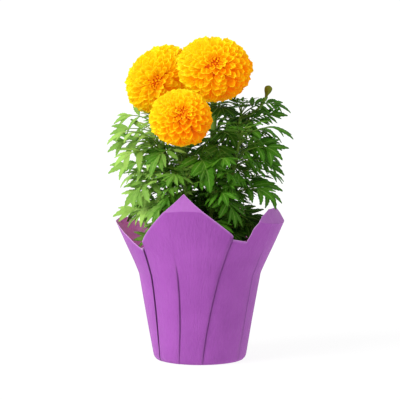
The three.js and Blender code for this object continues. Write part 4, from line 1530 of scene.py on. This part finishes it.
stage = {
    "lens": 186.5,
    "sensor": 36,
    "camera": (0.0, -2.0, 0.36),
    "aim": (0.0, 0.0, 0.155),
    "lampAim": (0, 0, 0.17),
    "lamps": {  # place, strength and spread in degrees
        "keyLight": ((-1.75, -1.1, 1.68), 2.8, 36),
        "fillLight": ((1.7, -1.0, 0.35), 0.3, 50),
    },
    "floorRadius": 6.0,
    "floorShades": (0.12, 0.135),
    "floorGlow": 0.89,  # keeps the floor as white as the backdrop, with a bare trace of a shadow
    "skyLight": 0.6,
    "backdrop": 1.05,
}


def aimAt(piece, target):
    direction = Vector(target) - piece.location
    piece.rotation_euler = direction.to_track_quat("-Z", "Y").to_euler()


def softLight(name, place, strength, spread):
    data = bpy.data.lights.new(name, "SUN")
    data.energy = strength
    data.angle = math.radians(spread)
    lamp = linked(name, data)
    lamp.location = place
    aimAt(lamp, stage["lampAim"])


def makeFloor():
    floor = primitive(bpy.ops.mesh.primitive_circle_add, vertices=96, radius=stage["floorRadius"],
                      fill_type="NGON")
    floor.name = "paleFloor"
    material, tree, shader = newMaterial(
        "paleFloor", Roughness=0.9, Specular_IOR_Level=0.1,
        Emission_Color=(1, 1, 1, 1), Emission_Strength=stage["floorGlow"])
    dull, bright = ((shade, shade, shade, 1.0) for shade in stage["floorShades"])
    shades = ramp(tree, cloud(tree, objectPlace(tree), 3.0), [(0.3, dull), (0.7, bright)])
    feed(shader, "Base Color", shades)
    floor.data.materials.append(material)


def makeSky():
    world = bpy.data.worlds.new("studio")
    bpy.context.scene.world = world
    world.use_nodes = True
    tree = world.node_tree
    sky = tree.nodes["Background"]
    sky.inputs["Color"].default_value = (1, 1, 1, 1)
    seen = node(tree, "LightPath", {}).outputs["Is Camera Ray"]
    brighter = stage["backdrop"] - stage["skyLight"]
    feed(sky, "Strength", maths(tree, "MULTIPLY_ADD", seen, brighter, stage["skyLight"]))


def makeStage():
    makeFloor()
    makeSky()
    for name, lamp in stage["lamps"].items():
        softLight(name, *lamp)
    camera = linked("photoCamera", bpy.data.cameras.new("photoCamera"))
    camera.data.lens = stage["lens"]
    camera.data.sensor_width = stage["sensor"]
    camera.location = stage["camera"]
    aimAt(camera, stage["aim"])
    bpy.context.scene.camera = camera
    bpy.context.scene.view_settings.view_transform = "Standard"
    print("stage: floor, lights and camera")


makeStage()
makeCover()
makePot()
makeSoil()
leafTop, leafUnder = (leafTissue(name, *look) for name, look in leafLooks.items())
stemGreen, calyxGreen, budGreen = (stemSkin(name, *look) for name, look in stemLooks.items())
leafletShape = modelLeaflet()
makeShoots(leafletShape, [leafTop, leafUnder, stemGreen])
rightBack = next(shoot for shoot in shoots if shoot["name"] == "right_back")
makeBud([stemGreen, budGreen], shootPath(rightBack, 200))
petalShapes = [modelPetal(2.1 * kind) for kind in range(petal["kinds"])]
tubeShape = modelTubePetal()
petalYellow = petalTissue()
for index, bloom in enumerate(blooms):
    makeBloom(index, bloom, petalShapes, tubeShape, petalYellow)
    makeStalk(index, bloom, leafletShape, [leafTop, leafUnder, stemGreen, calyxGreen])
